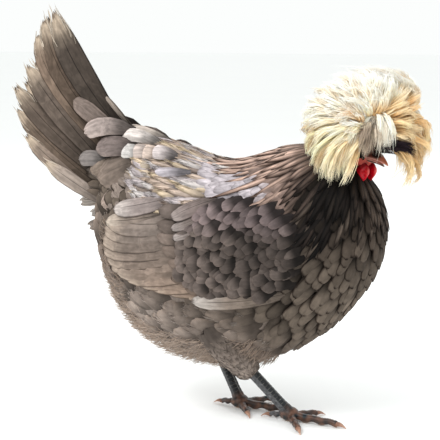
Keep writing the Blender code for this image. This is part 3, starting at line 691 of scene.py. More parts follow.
# %% [markdown]
# ## Bill
# The bill is two horny sheaths, the upper one hooked over the lower. They could be sculpted, but a tube
# flat on one side, with a formula for its taper and its hook, lets both meet along one line. Nostrils are
# pressed in, with a raised lip. The colour goes from dark to reddish, with a pale seam between the halves.


# %% Bill
NOSTRIL, LINE_DROP, LOWER_SHARE = (13.5, 4.0, 3.8), 3.2, 0.84
LIP_TONE, UNDER_TONE = paint(214, 150, 135), paint(190, 175, 160)


def bill_half(upper):
    """A half tube: it keeps its height until (1 - s^2.6)^0.7 rounds it off, and its line drops as s^3.2."""
    length = BILL_LENGTH if upper else BILL_LENGTH * LOWER_SHARE
    s = np.linspace(0, 1, 46)[:, None]
    turn = around(48)[None]
    taper = 0.06 + 0.94 * (1 - s**2.6) ** 0.7 * (1 - 0.25 * s)
    narrow = 0.1 + 0.9 * (1 - s**2.2) ** 0.8
    high, low = (UPPER_HEIGHT, 1.0) if upper else (1.0, LOWER_HEIGHT)
    tall = np.where(np.sin(turn) > 0, high, low) * taper
    ridge = 1 + (0.1 * bell((turn - math.pi / 2) / 0.35) if upper else 0)
    side_way = np.cos(turn) * BILL_WIDTH / 2 * narrow * (1.0 if upper else 0.9)
    rise_way = np.sin(turn) * tall * ridge - HOOK * s**LINE_DROP - (0 if upper else 1.0 + 0.4 * s)
    shape = np.stack([s * length + 0 * turn, side_way, rise_way], -1)
    if upper:
        for way in (-1, 1):
            far = np.linalg.norm((shape - np.array(NOSTRIL) * (1, way, 1)) / (3.4, 2.2, 1.9), axis=-1)
            push = 0.5 * bell((far - 1.25) / 0.4) - 1.9 * smooth(1.05, 0.3, far)
            shape[..., 1] += push * way
            shape[..., 2] += push * 0.4
    points, faces = tube(shape)
    return points, faces[:, ::-1]


for name, upper in (("bill_upper", True), ("bill_lower", False)):
    points, faces = bill_half(upper)
    mesh = plain_mesh(name, on_head(points + BILL_ROOT), faces)
    along = np.clip(points[:, 0] / BILL_LENGTH, 0, 1)[:, None]
    if upper:
        root_tone, tip_tone = paint(74, 38, 33), paint(196, 112, 84)
    else:
        root_tone, tip_tone = paint(38, 32, 28), paint(120, 80, 64)
    horn = mix(root_tone, tip_tone, along**2.4)
    line = points[:, 2] + HOOK * along[:, 0] ** LINE_DROP
    lips = (smooth(1.8, 0.3, np.abs(line + (0.3 if upper else 1.2))) * 0.8)[:, None]
    under = 0 if upper else smooth(-3.0, -4.4, line) * 0.7
    horn = mix(mix(horn, LIP_TONE, lips), UNDER_TONE, np.reshape(under, (-1, 1)))
    # Painted shade: the upper horn is darkened inside each nostril's hollow
    far = np.linalg.norm((points - np.array(NOSTRIL)) * (1, 0, 1) / (3.8, 1, 2.4), axis=1)
    horn = horn * (1 - (0.9 * smooth(1.5, 0.7, far) if upper else 0 * far))[:, None]
    add_colour(mesh, horn)
    place(name.capitalize(), mesh, horn_finish, (name,))

# %% [markdown]
# ## Wattles
# Two thin red lobes hang below the bill. Each is a flat tube whose width grows and closes again. It waves
# from front to back and has a fine grain, which a ball pressed flat wouldn't have. Its rim is paler.


# %% Wattles
WATTLE_PLACE, WATTLE_HALF = (18.2, 6.5, -20.6), (8.8, 2.2, 11.0)
WATTLE_RED, WATTLE_DARK, WATTLE_RIM = paint(206, 12, 34), paint(120, 8, 26), paint(236, 120, 112)
for side, name in ((-1, "right"), (1, "left")):
    s = np.linspace(0, 1, 42)[1:-1, None]
    turn = around(44)[None]
    wide = np.sin(math.pi * s**0.85) ** 0.62 * (1 - 0.38 * s**2.2)
    lobe = np.stack([wide * np.cos(turn), wide * np.sin(turn) * (0.75 + 0.4 * s), 1 - 2 * s + 0 * turn], -1)
    lobe = lobe * WATTLE_HALF
    lobe[..., 0] -= 1.6 * s**2 - 0.4
    lobe[..., 1] += 0.5 * np.sin(lobe[..., 0] * 0.55 + side) + side * 1.4 * s**2
    points, faces = tube(lobe)
    points += ripples(points, 4.5, 21 + side)[:, None] * np.array([0.05, 0.22, 0.05])
    rim = smooth(0.72, 1.0, np.hypot(points[:, 0] / WATTLE_HALF[0], points[:, 2] / WATTLE_HALF[2]))[:, None]
    top = smooth(0.0, 9.0, points[:, 2] - 0.5 * points[:, 0])[:, None]
    low_front = smooth(4, -6, points[:, 2] - points[:, 0])[:, None]
    red = mix(mix(WATTLE_RED, WATTLE_DARK, top), WATTLE_RIM, 0.6 * rim * low_front)
    places = on_head(points + np.array(WATTLE_PLACE) * (1, side, 1))
    mesh = plain_mesh(f"Wattle_{name}", places, faces[:, ::-1])
    add_colour(mesh, red)
    place(f"Wattle_{name}", mesh, wattle_finish, (f"wattle_{name}",))

# %% [markdown]
# ## Scaled legs
# The shank's front wears two columns of plates, one half a step behind the other, and its back has small
# scales. Toes have one row of plates on top and soft pads below. Each limb is a tube whose radius gets
# this relief. The shank, ball and toes are then melted into one skin at half a millimetre, so the plates
# stay and the joints close. Colour is worked out afterwards from where each point lies on its limb.


# %% Relief and lines of legs, toes and claws
# How high the claw's tip ends over the floor, how fine the leg is melted, and rings along a toe
CLAW_SOLE, LEG_VOXEL, TOE_RINGS = 0.45, 0.5, 90


def plates(length_mm, angles, step, reach, offset):
    """Height of overlapping plates: each swells, then drops at its lower edge; 0 outside the reach."""
    share = (length_mm / step + offset) % 1
    across = np.clip(1 - (np.abs(angles) / reach) ** 4, 0, 1)
    return smooth(0, 0.16, share) * (0.55 + 0.45 * share) * across


def shank_relief(length_mm, turn):
    """Two columns of front plates and small scales behind. turn is 0 at the front."""
    turn = (turn + math.pi) % (2 * math.pi) - math.pi
    first = plates(length_mm, turn - 0.72, 3.8, 0.7, 0.0)
    second = plates(length_mm, turn + 0.72, 3.8, 0.7, 0.5)
    row = length_mm * 1.15
    back = 0.35 * np.abs(np.cos(row) * np.cos(turn * 5 + (row / math.pi).round() * 1.6))
    return np.where(np.abs(turn) < 1.4, np.maximum(first, second), back)


def toe_line(foot, heading, reach, count=7):
    """Points along a toe from the ball to the claw, over its joints."""
    ahead = np.array([math.cos(heading), math.sin(heading), 0])
    shares = np.linspace(0, 1, count)
    lift = TOE_LIFT + 1.2 * np.sin(shares * 3 * math.pi) ** 2 - 1.3 * shares
    return foot * (1, 1, 0) + shares[:, None] * reach * ahead + lift[:, None] * (0, 0, 1), ahead


def claw_shape(start, ahead, radius):
    """A tapered horn whose tip bends down to the floor."""
    s = np.linspace(0, 1, 22)
    drop = (start[2] - CLAW_SOLE) * s**1.6
    line = start + s[:, None] * CLAW_LENGTH * ahead + (1.1 * np.sin(math.pi * s) - drop)[:, None] * (0, 0, 1)
    line[:, 2] = np.maximum(line[:, 2], CLAW_SOLE + radius * (0.66 - 0.6 * s) * 0.75)
    return limb(line, radius * (0.70 - 0.62 * s**1.3), 18, ahead, 0.8)


print("toes of", [length for _, _, length, _ in TOES], "mm")

# %% Legs and claws
CLAW_ROOT, CLAW_TIP = paint(118, 82, 64), paint(198, 156, 134)
SLATE_PLATE, PLATE_JOINT, SHANK_SIDE = paint(36, 38, 40), paint(104, 102, 97), paint(88, 88, 90)
TOE_BROWN, TOE_PAD, FOOT_DARK = paint(96, 70, 58), paint(150, 124, 104), paint(50, 46, 45)
claw_points, claw_triangles, claw_colours = [], [], []
for name, plan in LEGS.items():
    foot, along, cuff = leg_line(name)
    outward = -1 if name == "right" else 1
    reach = np.linalg.norm(cuff - foot) + 9
    steps = np.linspace(3, reach, 150)
    shank_path = foot + steps[:, None] * along
    side_way = unit(np.cross(along, (0, 0, 1.0)))
    front_way = np.cross(side_way, along)
    front_sign = np.sign(front_way[0])
    turns = around(72)
    seen = np.arctan2(np.cos(turns), np.sin(turns) * front_sign)
    relief = shank_relief(steps[:, None], seen[None]) * 0.75
    radii = SHANK_RADIUS - 0.55 + 1.1 * smooth(14, 2, steps) + 0.6 * smooth(reach - 14, reach, steps)
    parts = [limb(shank_path, radii, 72, relief=relief), ball(foot, np.array(FOOT_BALL) - 0.3)]
    for _, splay, length, radius in TOES:
        heading = math.radians(plan["heading"] + outward * splay)
        path, ahead = toe_line(foot, heading, length, TOE_RINGS)
        shares = np.linspace(0, 1, TOE_RINGS)
        joints = 1 + 0.09 * np.cos(shares * 6 * math.pi)
        toe_radii = radius * (1 - (1 - TOE_TAPER) * shares) * joints - 0.25
        round_toe = around(40)
        top = round_toe - math.pi / 2
        relief = plates(length * (1 - shares)[:, None], top[None], 2.9, 1.25, 0.2) * 0.5
        pad_gaps = np.abs(np.sin(shares * 2.5 * math.pi))[:, None]
        relief = relief - 0.3 * smooth(0.3, -0.4, np.sin(round_toe))[None] * pad_gaps
        parts.append(limb(path, toe_radii, 40, ahead, 0.92, relief))
        claw, faces = claw_shape(path[-1] - ahead * 1.0, ahead, radius)
        claw_triangles.append(faces + sum(len(points) for points in claw_points))
        claw_points.append(claw)
        share = np.clip((claw - path[-1]) @ ahead / CLAW_LENGTH, 0, 1)[:, None]
        claw_colours.append(mix(CLAW_ROOT, CLAW_TIP, share))
    leg = melt(f"Leg_{name}", parts, LEG_VOXEL, 1)
    points = mesh_points(leg)
    points[:, 2] = np.maximum(points[:, 2], 0.0)
    set_points(leg, points)
    off = points - foot
    height = off @ along
    flat = off - height[:, None] * along
    turn = np.arctan2(flat @ side_way, flat @ front_way * front_sign)
    raised = shank_relief(height, turn)[:, None]
    front = smooth(1.5, 1.25, np.abs(turn))[:, None]
    plate_tone = mix(PLATE_JOINT, SLATE_PLATE, smooth(0.06, 0.36, raised))
    shank_tone = mix(SHANK_SIDE * (0.75 + 0.5 * raised), plate_tone, front)
    shank_tone = shank_tone * (1 + 0.45 * ripples(points, 2.6, 6) * ripples(points, 9, 7))[:, None]
    pad = smooth(2.4, 0.8, points[:, 2])[:, None]
    lump = (0.5 + 0.5 * ripples(points, 7, 3))[:, None]
    toe_tone = mix(mix(FOOT_DARK, TOE_BROWN, lump), TOE_PAD, pad)
    upper = smooth(3, 12, height)[:, None]
    add_colour(leg, np.clip(mix(toe_tone, shank_tone, upper), 0, 1))
    place(f"Leg_{name}", leg, scale_finish, (f"shank_{name}", f"foot_{name}"))

claws = plain_mesh("Claws", np.concatenate(claw_points), np.concatenate(claw_triangles))
add_colour(claws, np.concatenate(claw_colours))
claw_nodes = [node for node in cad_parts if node.startswith("claw_")]
place("Claws", claws, horn_finish, claw_nodes)

# %% [markdown]
# ## How a feather is built
# A feather is a thin blade. Its midline is a parabola from root to tip through a middle point, and
# across it the blade is as wide as its outline says and sinks towards both edges. An upper and a lower
# sheet share their rim, so each blade has thickness and no open edge, but two corner triangles are there
# twice. Thousands are worked out at once, as one array of feather, row and column.


# %% Blades
# Shares of a feather's length, and of its width there
OUTLINES = {
    "tail": (
        (0, 0.15, 0.3, 0.45, 0.6, 0.72, 0.82, 0.9, 0.96, 1),
        (0.45, 0.66, 0.83, 0.95, 1, 0.97, 0.84, 0.6, 0.34, 0.08),
    ),
    "round": ((0, 0.18, 0.4, 0.62, 0.8, 0.91, 0.97, 1), (0.5, 0.8, 0.95, 1, 0.95, 0.76, 0.5, 0.2)),
    "blunt": ((0, 0.2, 0.45, 0.7, 0.84, 0.93, 0.98, 1), (0.5, 0.78, 0.94, 1, 0.97, 0.83, 0.6, 0.35)),
    "lance": ((0, 0.2, 0.45, 0.7, 0.87, 0.96, 1), (0.45, 0.85, 1, 0.82, 0.5, 0.22, 0.05)),
    "long": (
        (0, 0.15, 0.3, 0.45, 0.6, 0.75, 0.86, 0.94, 0.98, 1),
        (0.4, 0.7, 0.88, 0.97, 1, 1, 0.93, 0.72, 0.42, 0.15),
    ),
}


def blade_faces(rows, columns):
    """Triangles of one blade. The lower sheet uses the upper one's points along the rim.

    At two corners a triangle has only rim points, so it is there in both sheets.
    """
    upper = np.arange(rows * columns).reshape(rows, columns)
    lower = upper.copy()
    inner = (rows - 2, columns - 2)
    lower[1:-1, 1:-1] = rows * columns + np.arange(math.prod(inner)).reshape(inner)
    faces = []
    for sheet, order in ((upper, 1), (lower, -1)):
        a, b, c, d = sheet[:-1, :-1], sheet[:-1, 1:], sheet[1:, 1:], sheet[1:, :-1]
        for corners in ([a, b, c], [a, c, d]):
            faces.append(np.stack(corners[::order], -1).reshape(-1, 3))
    return np.concatenate(faces)


def parabola(root, middle, tip, v):
    """Points at shares v of a curve from root to tip through middle, and the way ahead there.

    It is root * (1 - v)^2 + 2 * control * v * (1 - v) + tip * v^2, with control = 2 * middle -
    (root + tip) / 2, so that v = 0.5 gives middle.
    """
    control = 2 * middle - (root + tip) / 2
    line = root * (1 - v) ** 2 + 2 * control * v * (1 - v) + tip * v**2
    return line, unit(2 * (1 - v) * (control - root) + 2 * v * (tip - control))


def on_blade(lines, width, cup, curl, u, v, span):
    """Points on many blades, and the way up there.

    The midline is a parabola through root, middle and tip. Across it, u from -1 to 1 goes out by half
    the width times the outline's span, and down by cup * half * u^2. The tip bends down by curl * v^5.
    """
    root, middle, tip, face = (np.asarray(x, float)[:, None] for x in lines)
    u, v, span = u[..., None], v[..., None], span[..., None]
    line, ahead = parabola(root, middle, tip, v)
    side = unit(np.cross(ahead, face))
    up = np.cross(side, ahead)
    half = np.asarray(width, float).reshape(-1, 1, 1) / 2 * span
    return line + side * u * half - up * (cup * half * u**2 + curl * v**5), up


def even_pairs(number):
    """Pairs that fill a square evenly: 0.5 + number * two fixed shares, without the whole part."""
    return (0.5 + number * 0.7548776662) % 1, (0.5 + number * 0.5698402910) % 1


def golden_turn(number):
    """Angles that step round by the golden angle, so that no two are close."""
    return number * math.pi * (3 - math.sqrt(5))


def blades(lines, width, outline, columns=5, cup=0.3, curl=0.0, ragged=0.0, thick=0.4, seed=1):
    """Points (feather, point, xyz), the Vane map and the triangles of many blades.

    ragged is how far the columns of barbs end short of the tip, each by its own share.
    """
    shares, spans = (np.array(row, float) for row in OUTLINES[outline])
    draw = np.random.default_rng(seed)
    count, rows = len(lines[0]), len(shares)
    u = np.broadcast_to(np.linspace(-1, 1, columns), (count, rows, columns))
    short = 1 - ragged * draw.random((count, 1, columns))
    v = shares[None, :, None] * (1 + (short - 1) * shares[None, :, None] ** 2)
    span = spans[None, :, None] * (1 + 0.3 * ragged * draw.normal(size=(count, rows, columns)))
    flat = (count, rows * columns)
    points, up = on_blade(lines, width, cup, curl, u.reshape(flat), v.reshape(flat), span.reshape(flat))
    under = (points - up * thick).reshape(count, rows, columns, 3)[:, 1:-1, 1:-1].reshape(count, -1, 3)
    vane = np.stack(np.broadcast_arrays((u[0] + 1) / 2, shares[:, None]), -1)
    vane = np.concatenate([vane.reshape(-1, 2), vane[1:-1, 1:-1].reshape(-1, 2)])
    return np.concatenate([points, under], 1), vane, blade_faces(rows, columns)


def fringe(lines, width, outline, each, cup, curl, start, beyond, thick, seed, rim=0.0, reach=0.25):
    """Loose barbs on many blades: strands that fan out from the shaft and end past the vane's rim.

    rim is how far out from the shaft they start, and reach how far back along it, both as shares.
    """
    shares, spans = (np.array(row, float) for row in OUTLINES[outline])
    draw = np.random.default_rng(seed)
    count = len(lines[0])
    u = draw.uniform(-1, 1, (count, each))
    v = start + (1 - start) * np.sqrt(draw.random((count, each)))
    u = np.sign(u) * (rim + (1 - rim) * np.abs(u))
    v_tip = np.minimum(v + 0.18 * reach / 0.25, 1.0) * (1 + beyond * draw.random((count, each)))
    parts = []
    for share, push in ((0.0, 0.0), (0.55, 0.5), (1.0, 0.2)):
        v_here = (v - reach) * (1 - share) + v_tip * share
        u_here = u * (rim + (1 - rim) * (0.25 + 0.8 * share)) * (1 + beyond * 0.6 * share)
        span = np.interp(v_here, shares, np.maximum(spans, 0.3))
        points, up = on_blade(lines, width, cup, curl, u_here, v_here, span)
        parts.append((points + up * push).reshape(-1, 3))
    return strands(*parts, np.full(count * each, thick), 3, seed)


print("a blade of 8 rows and 5 columns has", len(blade_faces(8, 5)), "triangles")

# %% [markdown]
# A barb, or a strand of down or crest, is a closed tube with three sides that tapers to one point. That is
# the least that still looks round when it is half a millimetre thick.


# %% Strands
def strand_faces(rings):
    """Triangles of a three-sided strand: rings, a closed root and one tip point."""
    ring = np.arange(rings * 3).reshape(rings, 3)
    after = np.roll(ring, -1, axis=1)
    a, b, c, d = ring[:-1], after[:-1], after[1:], ring[1:]
    tip = np.full(3, rings * 3)
    faces = [np.stack([a, b, c], -1), np.stack([a, c, d], -1), np.stack([ring[-1], after[-1], tip], -1)]
    return np.concatenate([part.reshape(-1, 3) for part in faces] + [[(2, 1, 0)]])


def strands(root, middle, tip, thick, rings=4, seed=1):
    """Points, map and triangles of many thin tapered strands on parabolas through three points."""
    root, middle, tip = (np.asarray(x, float)[:, None] for x in (root, middle, tip))
    v = np.linspace(0, 1, rings + 1)[None, :, None]
    line, ahead = parabola(root, middle, tip, v)
    ahead = ahead[:, :-1]
    draw = np.random.default_rng(seed)
    side = unit(np.cross(ahead, unit(draw.normal(size=(len(root), 1, 3)))))
    up = np.cross(side, ahead)
    radius = np.asarray(thick, float).reshape(-1, 1, 1, 1) / 2 * (1 - 0.6 * v[:, :-1, :, None] ** 2)
    turns = around(3)[None, None, :, None]
    outward = np.cos(turns) * side[:, :, None] + np.sin(turns) * up[:, :, None]
    rings_points = line[:, :-1, None] + radius * outward
    points = np.concatenate([rings_points.reshape(len(root), -1, 3), line[:, -1:]], 1)
    vane = np.column_stack([np.tile((0.2, 0.5, 0.8), rings), np.repeat(v[0, :-1, 0], 3)])
    return points, np.concatenate([vane, [(0.5, 1.0)]]), strand_faces(rings)


print("a strand of 4 rings has", len(strand_faces(4)), "triangles")

# %% [markdown]
# The map OFBake lays the skin out flat. Every feather gets its own small patch on it, at its root's place, so
# that each piece's colours can be baked into one picture.


# %% A coat of feathers as one piece
PATCH = 0.003


class Coat:
    """Feathers gathered for one piece: their points, triangles, maps and tints."""

    def __init__(self):
        self.points, self.faces, self.vanes, self.bakes, self.tints = [], [], [], [], []
        self.count = 0

    def add(self, shape, root_place, tint):
        """shape is what blades or strands gave. root_place is (0 to 1, 0 to 1) on the skin laid flat."""
        points, vane, faces = shape
        number, each = points.shape[:2]
        starts = self.count + np.arange(number)[:, None, None] * each
        self.faces.append((faces[None] + starts).reshape(-1, 3))
        self.points.append(points.reshape(-1, 3))
        self.vanes.append(np.tile(vane, (number, 1)))
        patch = np.asarray(root_place)[:, None] * (1 - PATCH) + vane[None] * PATCH
        self.bakes.append(patch.reshape(-1, 2))
        self.tints.append(np.repeat(tint, each, axis=0) if tint.ndim == 2 else tint.reshape(-1, 4))
        self.count += number * each

    def done(self, name, finish, slot, replaced=()):
        """Makes the piece."""
        mesh = plain_mesh(name, np.concatenate(self.points), np.concatenate(self.faces))
        add_map(mesh, "Vane", np.concatenate(self.vanes))
        add_map(mesh, "OFBake", np.concatenate(self.bakes))
        add_tint(mesh, np.clip(np.concatenate(self.tints), 0, 1))
        return place(name, mesh, finish, replaced)


def flat_skin(cuts, angles):
    """A place on the skin laid flat, from cuts and angle."""
    down_back = np.clip(np.asarray(cuts) / LAST_CUT, 0, 1)
    return np.column_stack([down_back, np.asarray(angles) / (2 * math.pi) + 0.5])


def nearest_skin(points):
    """The nearest place on the trunk, laid flat, for feathers that aren't placed by cuts and angle."""
    coarse = grid_points[::4, ::4].reshape(-1, 3)
    found = np.array([np.argmin(((coarse - point) ** 2).sum(1)) for point in points])
    return flat_skin(grid_c[::4, ::4].ravel()[found], grid_a[::4, ::4].ravel()[found])


print("each feather's patch is", PATCH, "of its piece's map across")

# %% [markdown]
# ## Spreading feathers over the body
# Feathers grow in rows, closer on the neck than on the belly. A grid gives the skin's area, and the
# wanted spacing says how many feathers each cell gets. An even sequence of pairs of numbers, which fills
# a square without clumps, is then bent through the running sums of those counts. That keeps the order
# and needs no trial and error.


# %% Placing feathers
def spread(spacing, seed=0):
    """Cuts and angles of feathers whose distance is spacing(cuts, angles, points), in mm."""
    gap = spacing(grid_c, grid_a, grid_points)
    wanted = np.where(np.isfinite(gap), grid_area / gap**2, 0)
    count = int(wanted.sum())
    along = np.cumsum(wanted.sum(1))
    number = np.arange(count) + seed * 0.37
    even_one, even_two = even_pairs(number)
    cuts = np.interp(even_one * along[-1], along, GRID_CUTS)
    last_row = len(GRID_CUTS) - 1
    row = np.clip((cuts / LAST_CUT * last_row).round().astype(int), 0, last_row)
    totals = np.cumsum(wanted, axis=1)
    target = even_two * totals[row, -1]
    column = np.clip((totals[row] < target[:, None]).sum(1), 1, len(GRID_ANGLES) - 1)
    before, here = totals[row, column - 1], totals[row, column]
    share = (target - before) / np.maximum(here - before, 1e-9)
    angles = GRID_ANGLES[column - 1] + np.clip(share, 0, 1) * (GRID_ANGLES[1] - GRID_ANGLES[0])
    filled = totals[row, -1] > 0
    return cuts[filled], angles[filled]


def stretch(cuts, angles):
    """Millimetres for one cut and for one radian at places on the trunk, from a small step each way."""
    step = 0.05
    return (
        np.linalg.norm(body(cuts + step, angles) - body(cuts - step, angles), axis=-1) / (2 * step),
        np.linalg.norm(body(cuts, angles + step) - body(cuts, angles - step), axis=-1) / (2 * step),
    )


def lie(cuts, angles, length, low, high, sway, seed):
    """Root, middle, tip and facing of feathers that run back along the body from their root.

    low and high are the heights of root and tip over the skin's measures. sway turns each a little.
    """
    draw = np.random.default_rng(seed)
    per_cut, per_turn = stretch(cuts, angles)
    turned = sway * draw.normal(size=len(cuts))
    ways = []
    for share in (0.0, 0.5, 1.0):
        c = cuts + share * length * np.cos(turned) / np.maximum(per_cut, 6)
        a = angles + share * length * np.sin(turned) / np.maximum(per_turn, 8)
        ways.append((c, a))
    root = body(*ways[0], low)
    middle = body(*ways[1], (low + high) / 2 + 0.8)
    tip = body(*ways[2], high)
    over = np.maximum(ways[2][0] - LAST_CUT, 0)[:, None]
    tip = tip + over * np.array([-14, 0, 0])
    face = unit(body(*ways[1], 6.0) - body(*ways[1], -6.0))
    return root, middle, tip, face


def shades(count, spread_by, seed):
    """A brightness for each feather, round 1."""
    return 1 + spread_by * np.random.default_rng(seed).normal(size=(count, 1))


def tinted(colours, edge):
    """Colours with the edge number as their fourth column."""
    return np.column_stack([colours, np.broadcast_to(edge, len(colours))])


def two_tone(ground, tip, shape, start, edge=0.85):
    """A tint for each point, from ground to tip beyond the share called start."""
    along = smooth(start, 1.0, shape[1][:, 1])[None, :, None]
    tones = mix(ground[:, None], np.broadcast_to(tip, ground.shape)[:, None], along)
    return np.concatenate([tones, np.full((*tones.shape[:2], 1), edge)], -1)


def wing_hides(points):
    """1 where the folded wing covers the flank."""
    x, z = points[..., 0], points[..., 2]
    inside = (np.abs(x - 2) / 74) ** 4 + (np.abs(z - 180) / 32) ** 4
    return (inside < 1) & (np.abs(points[..., 1]) > 35)


def grow(coat, lines, cuts, angles, tint, width, outline, columns, cup, curl, ragged, seed):
    """Adds blades to a coat, each with its patch at its root's place."""
    made = blades(lines, width, outline, columns, cup, curl, ragged, seed=seed)
    coat.add(made, flat_skin(cuts, angles), tint)


print("hidden by the wing:", round(100 * wing_hides(grid_points).mean()), "% of the trunk's grid")


# %% [markdown]
# ## Breast, flanks and belly
# The breast wears short, round-ended feathers like roof tiles, mid grey with a dark edge. Towards the
# belly they grow longer, paler and looser, and lose the edge.


# %% Breast and belly feathers
def body_spacing(cuts, angles, points):
    """Distance between feathers: small at the throat, wide on the belly, none under wing and tail."""
    turn = np.abs(angles)
    gap = 10.6 + 3.6 * smooth(4.6, 7.2, cuts) + 0 * turn
    gap = np.where(cuts < 2.8, 5.6 + 1.75 * cuts, gap)
    cape = 0.5 * smooth(3.2, 0.5, cuts) + 0.25 * smooth(1.8, 2.6, cuts) * smooth(4.6, 3.8, cuts)
    back = turn < np.radians(58) + cape
    return np.where(back | wing_hides(points) | (cuts > 12.6) | (cuts < 1.5), np.inf, gap)


cuts, angles = spread(body_spacing)
points = body(cuts, angles)
loose = smooth(5.2, 7.0, cuts) * smooth(1.2, 1.7, np.abs(angles))
gap = body_spacing(cuts, angles, points)
gap = np.where(np.isfinite(gap), gap, 10.0)
draw = np.random.default_rng(2)
length = gap * (2.1 + 0.4 * loose) * draw.uniform(0.85, 1.2, len(cuts)) + 4
width = gap * np.where(cuts < 2.4, 1.1, 1.3 + 0.4 * loose) * draw.uniform(0.85, 1.15, len(cuts))
high = 2.4 - 2.4 * loose + 1.6 * draw.random(len(cuts))
body_lines = lie(cuts, angles, length, -3.5 - 3.0 * loose, high, 0.12 + 0.14 * loose, 3)
tone = body_tone(points) * shades(len(cuts), 0.14, 4)
# Painted shade: the breast is darkened where it lies in the wing's shade; tone_of_body keeps it
painted_wing_shade = bell((points[:, 0] - 86) / 14, (points[:, 2] - 158) / 22) * (np.abs(points[:, 1]) > 40)
tone = tone * (1 - 0.75 * painted_wing_shade[:, None])
edge = 0.5 + 0.45 * (1 - loose) - 0.4 * loose
cuts_of_body, angles_of_body, width_of_body, tone_of_body = cuts, angles, width, tone
for name, chosen, finish, curl in (
    ("Breast_feathers", loose < 0.5, contour_finish, 0.8),
    ("Belly_feathers", loose >= 0.5, soft_finish, 4.0),
):
    coat = Coat()
    lines = [line[chosen] for line in body_lines]
    ragged = 0.03 if finish is contour_finish else 0.05
    tint = tinted(tone[chosen], edge[chosen])
    grow(coat, lines, cuts[chosen], angles[chosen], tint, width[chosen], "round", 9, 0.42, curl, ragged, 5)
    coat.done(name, finish, "plumage")

# %% [markdown]
# ## The neck hackle
# From the crest down, long narrow feathers fall over the shoulders like a cape. Each has a pale streak
# along its middle and dark edges.


# %% Neck hackle
def hackle_spacing(cuts, angles, points):
    """All round the neck at first, then ever less far down its sides, with a dip over the shoulder."""
    turn = np.abs(angles)
    reach = np.where(cuts < 1.9, 4.0, np.radians(150) - 0.24 * cuts)
    last = 3.4 - 1.5 * bell((turn - 0.9) / 0.3)
    return np.where((turn < reach) & (cuts < last), 5.0 + 0.8 * cuts, np.inf)


cuts, angles = spread(hackle_spacing, 5)
draw = np.random.default_rng(8)
length = 42 + 12 * smooth(0, 2.5, cuts) - 20 * smooth(1.5, 2.4, np.abs(angles))
length = length * draw.uniform(0.75, 1.15, len(cuts))
lines = lie(cuts, angles, length, -2.5, 3.4 + 2.2 * draw.random(len(cuts)), 0.07, 9)
front = smooth(0.9, 1.75, np.abs(angles) + 0.2 * smooth(1.8, 0.5, cuts))[:, None]
chest = smooth(2.0, 2.7, np.abs(angles))[:, None]
dark = mix(paint(26, 22, 20), paint(74, 64, 57), chest)
tone = mix(paint(156, 132, 120), dark, front) * shades(len(cuts), 0.2, 10)
lighter = (draw.random((len(cuts), 1)) < 0.4) * front * smooth(1.2, 2.4, cuts)[:, None]
tone = mix(tone, paint(78, 69, 62), lighter)
coat = Coat()
grow(coat, lines, cuts, angles, tinted(tone, 1.0), np.full(len(cuts), 8.0), "lance", 9, 0.4, 0.8, 0.05, 11)
coat.done("Neck_hackle", hackle_finish, "hackle")

# %% [markdown]
# ## Back and saddle
# Behind the cape the shoulder feathers are broad, smooth and lilac grey. The saddle's are narrow and
# worn, with straw-coloured fringes, and run towards the tail.


# %% Back and saddle
def shoulder_spacing(cuts, angles, points):
    """A patch on each shoulder."""
    turn = np.abs(angles)
    return np.where((cuts > 2.5) & (cuts < 5.5) & (turn > 0.42) & (turn < 1.27), 7.6, np.inf)


def saddle_spacing(cuts, angles, points):
    """A strip along the back, and its sides behind the shoulders, above the folded wing."""
    turn, x = np.abs(angles), points[..., 0]
    centre = (cuts > 3.2) & (turn < 0.5) & (x > -84)
    sides = (cuts > 5.1) & (turn < 1.2 - 0.04 * (cuts - 6)) & (points[..., 2] > 205) & (x > -56)
    return np.where(centre | sides, 6.9, np.inf)


def rump_spacing(cuts, angles, points):
    """The rump's upper half, up to the tail's root."""
    return np.where((points[..., 0] < -48) & (cuts < 12.7) & (np.abs(angles) < 1.3), 8.5, np.inf)


SADDLE_TIPS = np.array([
    paint(180, 171, 172), STRAW, paint(192, 172, 156), paint(140, 124, 114), paint(208, 201, 198),
])
SADDLE_BARBS = 6
coat = Coat()
cuts, angles = spread(shoulder_spacing, 2)
draw = np.random.default_rng(13)
lines = lie(cuts, angles, draw.uniform(18, 25, len(cuts)), -2.0, 3.0 + 1.0 * draw.random(len(cuts)), 0.07, 12)
under_hackle = smooth(3.2, 2.8, cuts - 0.9 * smooth(1.0, 1.2, np.abs(angles)))[:, None]
tone = mix(paint(174, 166, 170), paint(122, 104, 96), under_hackle) * shades(len(cuts), 0.1, 14)
width = draw.uniform(12, 16, len(cuts))
grow(coat, lines, cuts, angles, tinted(tone, 0.68), width, "round", 9, 0.3, 1.0, 0.02, 14)
cuts, angles = spread(rump_spacing, 6)
draw = np.random.default_rng(11)
lines = lie(cuts, angles, draw.uniform(20, 27, len(cuts)), -2.5, 2.4 + draw.random(len(cuts)), 0.1, 21)
upper = smooth(0.9, 0.4, np.abs(angles))[:, None]
tone = mix(paint(128, 116, 108), paint(186, 175, 168), upper) * shades(len(cuts), 0.1, 22)
width = draw.uniform(10, 13, len(cuts))
grow(coat, lines, cuts, angles, tinted(tone, 0.6), width, "round", 7, 0.4, 1.4, 0.04, 23)
cuts, angles = spread(saddle_spacing, 3)
draw = np.random.default_rng(15)
count = len(cuts)
lines = lie(cuts, angles, draw.uniform(32, 50, count), -2.5, 2.6 + 3.2 * draw.random(count), 0.09, 16)
ends = SADDLE_TIPS[draw.choice(5, count, p=[0.32, 0.17, 0.24, 0.13, 0.14])] * shades(count, 0.08, 17)
ground = mix(paint(150, 138, 134), ends, 0.5) * shades(count, 0.1, 24)
width = draw.uniform(8.0, 13.0, count)
made = blades(lines, width, "lance", 9, 0.4, 1.0, 0.16, seed=18)
coat.add(made, flat_skin(cuts, angles), two_tone(ground, ends, made, 0.35, 0.8))
shape = fringe(lines, width, "lance", SADDLE_BARBS, 0.4, 1.0, 0.5, 0.05, 0.5, 19, 0.3, 0.14)
